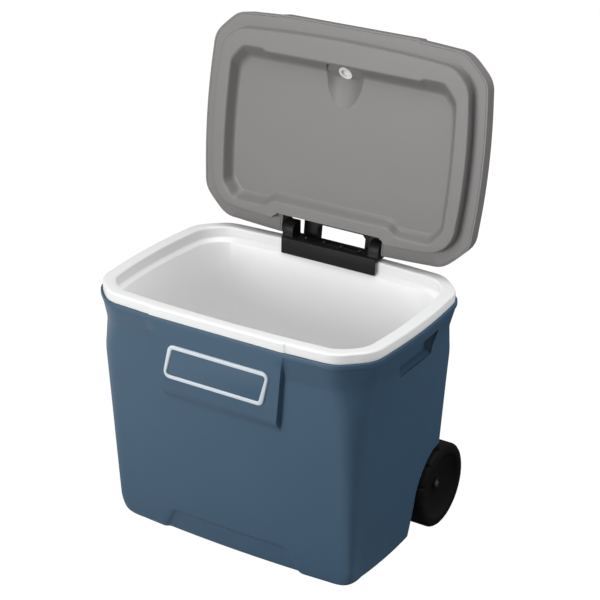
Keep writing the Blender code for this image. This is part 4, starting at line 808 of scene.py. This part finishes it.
# %% Foam of the wall
FOAM_GAP = 0.0004
TUB_SPACE = 0.0029
DRAIN_R, DRAIN_Y, DRAIN_Z = 0.0103, -0.020, 0.121
DRAIN_FROM, DRAIN_TO = -0.280, -0.169
gap = WALL + FOAM_GAP
rings = body_rings(gap, FOOT_Z + WALL + FOAM_GAP, SHELL_TOP - 0.004, 0.0)
foam_fill = grow("foam_fill", rings)
carve(foam_fill, *pressed_in(gap))
carve(foam_fill, grow("tub_space", tub_outside(TUB_SPACE)))
for target in (body_skin, tub_skin, foam_fill):
    carve(target, drill("hole", DRAIN_R, DRAIN_FROM, DRAIN_TO, DRAIN_Y, DRAIN_Z))
settle(body_skin, "cooler_body", blue_shell, "shell_blue", "body_shell")
settle(foam_fill, "cooler_body", pale_foam, "foam_pale", "body_foam")
settle(tub_skin, "cooler_body", white_tub, "tub_white", "body_liner")

# %% [markdown]
# ## Lid
# The lid is made shut, where its plug and the tub's seat can be lined up, and is then swung
# back about the hinge line. The grey outside is a shallow box with a soft top edge; its top
# carries a wide pressed field, which stiffens a large flat panel on a real lid. The
# underside has a narrow lip, the plug, and a pan with leaning walls that is set in along
# the hinge.

# %% Lid outlines
AXIS_Y, AXIS_Z = 0.18655, 0.4788
AXIS = Vector((0.0, AXIS_Y, AXIS_Z))
OPEN_DEG = 96.98
LIP_Z = RIM_TOP + 0.0005
LID_X, LID_Y = TOP_X - 0.0034, TOP_Y - 0.0034
PLATEAU_Z = LIP_Z - 0.0171
PAN_DEEP, PAN_DRAFT, PAN_LEAN, PAN_FILLET = 0.0190, 0.0095, 0.0095, 0.0050
PAN_FLOOR = PLATEAU_Z + PAN_DEEP
LID_TOP = LIP_Z + 0.0352
PLUG_IN = 0.0238
LID_CORNER_X, LID_CORNER_Y = 0.0775, 0.075
LID_BEND, LID_PUFF, PLUG_PUFF = 0.018, 0.0042, 0.0018
LID_EDGE, LID_DRAFT = 0.009, 0.0025


def lid_plan(z, inset, **details):
    return plan(LID_X - inset, LID_Y - inset, LID_CORNER_X - OFFSET_SHARE * inset,
                LID_CORNER_Y - OFFSET_SHARE * inset, z, **details)


def lid_ring(z, inset):
    """Outline of the lid's outside, with its slightly raised front."""
    def out(x, wall):
        return LID_Y - 0.0010 - inset - wall

    return lid_plan(z, inset, front=(0.1325, 0.0042, out), bend=LID_BEND, puff=LID_PUFF)


def plug_ring(z, inset):
    return lid_plan(z, inset, bend=BEND, puff=PLUG_PUFF)


def pan_ring(z, inset, fall=0.0):
    """Outline of the pan; its front wall leans further in as fall goes to 1."""
    lean = PAN_LEAN * fall
    corner = mix(0.036, 0.030, fall)
    return plan(LID_X - 0.0506 - inset, LID_Y - 0.0545 - inset - 0.5 * lean, corner, corner, z,
                0.0075 + 0.5 * lean, bulge_x=0.0035, bulge_y=0.0010,
                front=(0.150, 0.010, lambda x, wall: -0.0045 * (1.0 - fall)),
                rear=(0.112, 0.026, lambda x, wall: -0.0130), bend=0.008, puff=0.0)


def pan_rings(off):
    """Rings of the pan: eased edge, leaning wall and a fillet at the floor."""
    def bent(p, corner, q):
        marks = []
        for i in range(6):
            t = i / 5
            marks.append([mix(mix(a, b, t), mix(b, c, t), t) for a, b, c in zip(p, corner, q)])
        return marks

    def wall(share):
        return PAN_DRAFT * share, PLATEAU_Z + PAN_DEEP * share, share

    marks = bent((-0.0030, PLATEAU_Z, 0.0), wall(0.0), wall(0.17))
    marks += bent(wall(0.72), wall(1.0), (PAN_DRAFT + PAN_FILLET, PAN_FLOOR, 1.0))
    return [pan_ring(z + off, inset - off, fall) for inset, z, fall in marks]


print("lid top", round(LID_TOP, 4), "pan floor", round(PAN_FLOOR, 4))

# %% [markdown]
# The outside goes from the lip up a drafted wall, round the soft edge and over the field.
# The underside goes in from the lip, down the plug and into the pan. Both lists take an
# offset, so that the same outlines also give the hollow that is cut out behind each skin.

# %% Lid sections
PRESSED_FIELD = [(0.0005, 0.0440), (0.0003, 0.0450), (-0.0008, 0.0465), (-0.0010, 0.0480),
                 (-0.0008, 0.0800)]
LIP_EASE, PLUG_EASE, PLUG_ROUND = 0.001, 0.0008, 0.0025
PLUG_DRAFT = 0.0013


def lid_outside_rings(grown, low):
    rings = [lid_ring(low, -grown), lid_ring(LID_TOP - LID_EDGE, LID_DRAFT - grown)]
    for i in range(1, 7):
        angle = math.radians(15.0 * i)
        rings.append(lid_ring(LID_TOP - LID_EDGE + (LID_EDGE + grown) * math.sin(angle),
                              LID_DRAFT - grown + LID_EDGE * (1.0 - math.cos(angle))))
    if grown == 0.0:
        return rings + [lid_ring(LID_TOP + rise, inset) for rise, inset in PRESSED_FIELD]
    return rings + [lid_ring(LID_TOP + grown, inset) for inset in (0.0450, 0.0800)]


def turned_edge(ring, z, inset, radius, z_way, in_way, steps=4):
    """Rings of a rounded edge that turns from a wall into a flat."""
    rings = []
    for i in range(steps + 1):
        angle = math.radians(90.0 * i / steps)
        rings.append(ring(z + z_way * radius * math.sin(angle),
                          inset + in_way * radius * (1.0 - math.cos(angle))))
    return rings


def under_rings(off, seam, top):
    rings = [lid_ring(top, seam), lid_ring(LIP_Z + off, seam),
             plug_ring(LIP_Z + off, PLUG_IN - LIP_EASE + off),
             plug_ring(LIP_Z + off - PLUG_EASE, PLUG_IN + off)]
    rings += turned_edge(plug_ring, PLATEAU_Z + off + PLUG_ROUND, PLUG_IN + PLUG_DRAFT + off,
                         PLUG_ROUND, -1.0, 1.0)
    return rings + pan_rings(off)


print("rings in the lid's underside", len(under_rings(0.0, 0.0, LIP_Z + 0.030)))

# %% [markdown]
# Three cuts make room for the hinge: a notch through the lid's rear edge, a wider one in
# the plug with slanting ends, and a thin wedge behind the axis, which keeps the lip off the
# rim as the lid swings.

# %% Cuts for the hinge
NOTCH_IN, NOTCH_HALF, NOTCH_PAST = 0.0362, 0.1015, 0.010
PLUG_NOTCH_IN, PLUG_NOTCH_NEAR, PLUG_NOTCH_FAR = 0.0368, 0.108, 0.122
SLIVER = 0.002
RELIEF_IN, RELIEF_RISE = 0.0030, 0.0034


def notch_box(grown):
    front, rear = LID_Y - NOTCH_IN - grown, LID_Y + NOTCH_PAST
    low, high = PLATEAU_Z - 0.004, LID_TOP + NOTCH_PAST
    half = NOTCH_HALF + grown
    return prism_x("notch", [(front, low), (rear, low), (rear, high), (front, high)], -half, half)


def plug_notch(grown):
    """The plug is set back round the hinge, with slanting ends."""
    rear, front, middle = LID_Y + SLIVER, LID_Y - PLUG_NOTCH_IN - grown, LID_Y - PLUG_IN
    near, far = PLUG_NOTCH_NEAR + grown, PLUG_NOTCH_FAR + grown
    outline = [(-near, front), (near, front), (far, middle), (far, rear), (-far, rear), (-far, middle)]
    levels = (PLATEAU_Z - SLIVER, LIP_Z - 0.0002 + grown)
    return grow("plug_notch", [[(x, y, z) for x, y in outline] for z in levels])


def relief_wedge():
    rear, low = LID_Y + SLIVER, LIP_Z - SLIVER
    outline = [(AXIS_Y, low), (rear, low), (rear, LIP_Z + RELIEF_RISE), (AXIS_Y - RELIEF_IN, LIP_Z)]
    return prism_x("relief", outline, -TOP_X, TOP_X)


print("hinge notch", 2.0 * NOTCH_HALF, "wide")

# %% [markdown]
# The fill plug sits at a slant in a scoop of the pan. The scoop starts as a flat pad under
# the plug and ends as a trough that tapers off in the pan's floor. Both share one place and
# tilt, and everything of the lid is swung open about the same axis.

# %% Scoop and fill plug
FILL_TILT = math.radians(36.0)
PAN_EDGE_Y = -(LID_Y - 0.0665)
FILL_IN, FILL_RISE, PAD_END = 0.0152, 0.0011, 0.0260
PAD_STAGES = (0.0, 0.3, 0.6, 0.85, 0.95)
SCOOP_STEPS, SCOOP_POWER = 20, 2.6
SCOOP_TAIL = [(0.0260, 0.0370, 1.0), (0.0360, 0.0352, 0.81), (0.0460, 0.0325, 0.62), (0.0550, 0.0285, 0.44),
              (0.0640, 0.0230, 0.27), (0.0700, 0.0175, 0.13), (0.0750, 0.0110, 0.03)]


def scoop(grown):
    """Scoop under the fill plug: a flat slanted pad, then a tapering trough in the floor."""
    slope = math.tan(FILL_TILT)
    base = PAN_FLOOR + FILL_RISE - FILL_IN * slope
    corner = PAN_DRAFT + PAN_FILLET
    top = PLATEAU_Z - grown - 0.001
    deep = base + PAD_END * slope - PAN_FLOOR

    def ring(half, place):
        edge = PAN_EDGE_Y + place(1.0)[0]
        points = [(-half - grown, edge, top), (half + grown, edge, top)]
        for i in range(2 * SCOOP_STEPS + 1):
            share = 1.0 - i / SCOOP_STEPS
            run, z = place(abs(share) ** SCOOP_POWER)
            points.append((share * (half + grown), PAN_EDGE_Y + run, z + grown))
        return points

    def pad(share):
        def place(rise):
            run = mix(0.0020 - grown, mix(PAD_END, corner, rise), share)
            return run, base + run * slope
        return place

    def trough(reach, share):
        return lambda rise: (reach + grown, PAN_FLOOR + deep * share * (1.0 - rise))

    rings = [ring(mix(0.030, 0.037, share), pad(share)) for share in PAD_STAGES]
    for reach, half, share in SCOOP_TAIL:
        rings.append(ring(half, pad(1.0) if share == 1.0 else trough(reach, share)))
    return grow("scoop", rings)


PLUG_PLACE = Matrix.Translation((0.0, PAN_EDGE_Y + FILL_IN, PAN_FLOOR + FILL_RISE))
PLUG_PLACE = PLUG_PLACE @ Matrix.Rotation(FILL_TILT, 4, "X")


def fill_rod(name, profile):
    """A turned piece on the tilted axis of the fill plug."""
    rings = [[PLUG_PLACE @ Vector((x, y, z)) for x, y in arc(0.0, 0.0, radius, *FULL_TURN)]
             for radius, z in profile]
    return grow(name, rings)


def swing_open(item):
    """Turn a shut lid piece back to the angle it has in the photograph."""
    turn = Matrix.Rotation(math.radians(-OPEN_DEG), 4, "X")
    item.matrix_world = Matrix.Translation(AXIS) @ turn @ Matrix.Translation(-AXIS)
    select_only(item)
    bpy.ops.object.transform_apply(location=True, rotation=True, scale=True)
    return item


print("fill plug at", [round(v, 4) for v in PLUG_PLACE.translation])

# %% [markdown]
# The outside gets its notch before its edges are rounded, and its hollow and the two pin
# holes after that, so that the hidden edges stay sharp.

# %% Lid outside
LID_WALL = 0.0030
PIN_R, PIN_FROM, PIN_TO = 0.0033, 0.0995, 0.1103
lid_outside = grow("lid_outside", lid_outside_rings(0.0, LIP_Z))
carve(lid_outside, notch_box(0.0))
round_edges(lid_outside, 0.0010)
hollow = grow("hollow", lid_outside_rings(-LID_WALL, LIP_Z - SLIVER))
carve(hollow, notch_box(LID_WALL))
carve(lid_outside, hollow, relief_wedge())
for side in (-1, 1):
    low, high = sorted((side * PIN_FROM, side * PIN_TO))
    carve(lid_outside, drill("pin_hole", PIN_R, low, high, AXIS.y, AXIS.z))
swing_open(lid_outside)
settle(lid_outside, "lid", grey_lid, "lid_grey", "lid_cap")
flat_faces_first(lid_outside)

# %% [markdown]
# The underside is made in the same order. Its last cut is the seat of the fill plug, which
# is then turned on its own axis.

# %% Lid underside
SEAM, UNDER_WALL = 0.0036, 0.0024
SEAT_R, SEAT_LOW, SEAT_HIGH = 0.0133, -0.0035, 0.0093
lid_underside = grow("lid_underside", under_rings(0.0, SEAM, LIP_Z + 0.030))
carve(lid_underside, notch_box(SEAM), plug_notch(0.0), scoop(0.0))
round_edges(lid_underside, 0.0009)
hidden = grow("hidden", under_rings(UNDER_WALL, SEAM - 0.001, LIP_Z + 0.032))
carve(hidden, plug_notch(UNDER_WALL), scoop(UNDER_WALL))
carve(lid_underside, hidden, relief_wedge(),
      fill_rod("hole", [(SEAT_R, SEAT_LOW), (SEAT_R, SEAT_HIGH)]))
swing_open(lid_underside)
settle(lid_underside, "lid", grey_lid, "lid_grey", "lid_liner")
flat_faces_first(lid_underside)

# %% Fill plug
FILL_SECTION = [(0.0085, 0.0090), (0.0130, 0.0090), (0.0130, -0.0006), (0.0128, -0.0011),
                (0.0123, -0.0015), (0.0092, -0.0015), (0.0085, -0.0012), (0.0080, -0.0004),
                (0.0076, 0.0038)]
fill_plug = fill_rod("fill_plug", FILL_SECTION)
swing_open(fill_plug)
settle(fill_plug, "lid", white_stopper, "tub_white", "lid_fill_plug")

# %% [markdown]
# ## Wheels
# Each wheel is one moulding turned about the axle. Its section is drawn once as a chain of
# short edges and spun right round. Twelve shallow grooves then cross the tread: their rows
# of corners are picked by angle and pushed in.

# %% Wheels
WHEEL_SECTION = [(0.0150, 0.0065), (0.0150, 0.0145), (0.0155, 0.0158), (0.0165, 0.0180), (0.0160, 0.0260),
                 (0.0140, 0.0370), (0.0110, 0.0470), (0.0070, 0.0545), (0.0035, 0.0580), (0.0012, 0.0600),
                 (0.0003, 0.0616), (0.0, 0.0635), (0.0, 0.0700), (0.0006, 0.0725), (0.0022, 0.0752),
                 (0.0044, 0.0769), (0.0070, 0.0775), (0.0140, 0.0775), (0.0220, 0.0775), (0.0300, 0.0775),
                 (0.0370, 0.0775), (0.0396, 0.0769), (0.0418, 0.0752), (0.0434, 0.0725), (0.0440, 0.0700),
                 (0.0440, 0.0610), (0.0430, 0.0590), (0.0275, 0.0550), (0.0275, 0.0180), (0.0420, 0.0150),
                 (0.0420, 0.0065)]
WHEEL_STEPS, STEP_DEG = 180, 2.0
GROOVE_EVERY, GROOVE_STEPS = 15, (4, 5)
GROOVE_FROM, GROOVE_DEEP = 0.0740, 0.0022


def make_wheel(name, side, body, node):
    bpy.ops.object.select_all(action="DESELECT")
    bpy.ops.mesh.primitive_circle_add(vertices=len(WHEEL_SECTION), radius=1.0)
    wheel = bpy.context.object
    wheel.name = name
    bpy.ops.object.mode_set(mode="EDIT")
    grid = bmesh.from_edit_mesh(wheel.data)
    for vert, (depth, radius) in zip(grid.verts, WHEEL_SECTION):
        vert.co = (side * (WHEEL_OUT - depth), WHEEL_Y, WHEEL_R + radius)
    bmesh.update_edit_mesh(wheel.data)
    bpy.ops.mesh.select_all(action="SELECT")
    bpy.ops.mesh.spin(steps=WHEEL_STEPS, angle=math.radians(360.0), axis=(1.0, 0.0, 0.0),
                      center=(0.0, WHEEL_Y, WHEEL_R))
    bpy.ops.mesh.select_all(action="SELECT")
    bpy.ops.mesh.remove_doubles(threshold=WELD)
    grid = bmesh.from_edit_mesh(wheel.data)
    for vert in grid.verts:
        y, z = vert.co.y - WHEEL_Y, vert.co.z - WHEEL_R
        radius = math.hypot(y, z)
        step = round(math.degrees(math.atan2(z, y)) / STEP_DEG) % GROOVE_EVERY
        if radius > GROOVE_FROM and step in GROOVE_STEPS:
            share = (radius - GROOVE_DEEP) / radius
            vert.co.y, vert.co.z = WHEEL_Y + y * share, WHEEL_R + z * share
    bmesh.update_edit_mesh(wheel.data)
    bpy.ops.object.mode_set(mode="OBJECT")
    return settle(wheel, body, black_wheel, "wheel_black", node, smooth_deg=28.0)


make_wheel("wheel_left_turned", -1, "left_wheel", "wheel_left")
make_wheel("wheel_right_turned", 1, "right_wheel", "wheel_right")

# %% [markdown]
# ## Hinge, handle and trim
# These pieces are already the right shape in the CAD. Each is copied, its split corners are
# merged, and its hard edges get the small radius that a mould or a die leaves. That thin
# bright line along an edge is what makes black plastic readable.

# %% Softened copies
SAME_FACE_DEG = 0.5


def softened(node, name, body, material, slot, width, thicker=0.0):
    """A copy of a CAD piece with rounded edges, a little thicker if asked."""
    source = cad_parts[node]
    item = bpy.data.objects.new(name, source.data.copy())
    bpy.context.scene.collection.objects.link(item)
    select_only(item)
    bpy.ops.object.mode_set(mode="EDIT")
    bpy.ops.mesh.select_all(action="SELECT")
    bpy.ops.mesh.remove_doubles(threshold=WELD)
    bpy.ops.mesh.dissolve_limited(angle_limit=math.radians(SAME_FACE_DEG))
    if thicker:
        bpy.ops.transform.shrink_fatten(value=thicker, use_even_offset=True)
        bpy.ops.transform.translate(value=(0.0, thicker, 0.0))
    bpy.ops.object.mode_set(mode="OBJECT")
    round_edges(item, width)
    return settle(item, body, material, slot, node, drawn=False)


softened("hinge_body_leaf", "hinge_leaf_soft", "cooler_body", black_hinge, "hinge_black", 0.0009)
softened("tow_grip", "tow_grip_soft", "tow_handle", black_grip, "hinge_black", 0.0009)
softened("name_plate", "name_plate_soft", "cooler_body", blue_plate, "shell_blue", 0.0004)
softened("name_plate_border", "plate_border_soft", "cooler_body", pale_border, "plate_pale", 0.0005,
         thicker=0.0005)
softened("foot_bar", "foot_bar_soft", "cooler_body", black_rubber, "rubber_black", 0.0010)
for end in ("left", "right"):
    for level in ("upper", "lower"):
        softened(level + "_clamp_" + end, level + "_clamp_soft_" + end, "cooler_body", black_clip,
                 "hinge_black", 0.0007)

# %% [markdown]
# The small round parts stay as the CAD made them and only get their finish.

# %% Finishes of the carried-over nodes
FINISH_OF_NODE = {
    "lid_foam": pale_foam, "drain_tube": white_stopper, "drain_nut": white_stopper,
    "drain_plug": white_stopper, "axle_rod": bright_axle, "axle_clip_": black_clip,
    "axle_washer_": bright_axle, "hinge_pin_": bright_axle, "axle_push_nut_": dark_screw,
    "clamp_screw_": dark_screw, "leaf_screw_": dark_screw, "tow_tube_": grey_tube,
    "tow_sleeve_": grey_tube,
}
for node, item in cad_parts.items():
    for start, material in FINISH_OF_NODE.items():
        if node.startswith(start):
            for place in item.material_slots:
                place.material = material
shown = [n for n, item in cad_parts.items() if not item.hide_render]
print("nodes still shown:", sorted(shown))
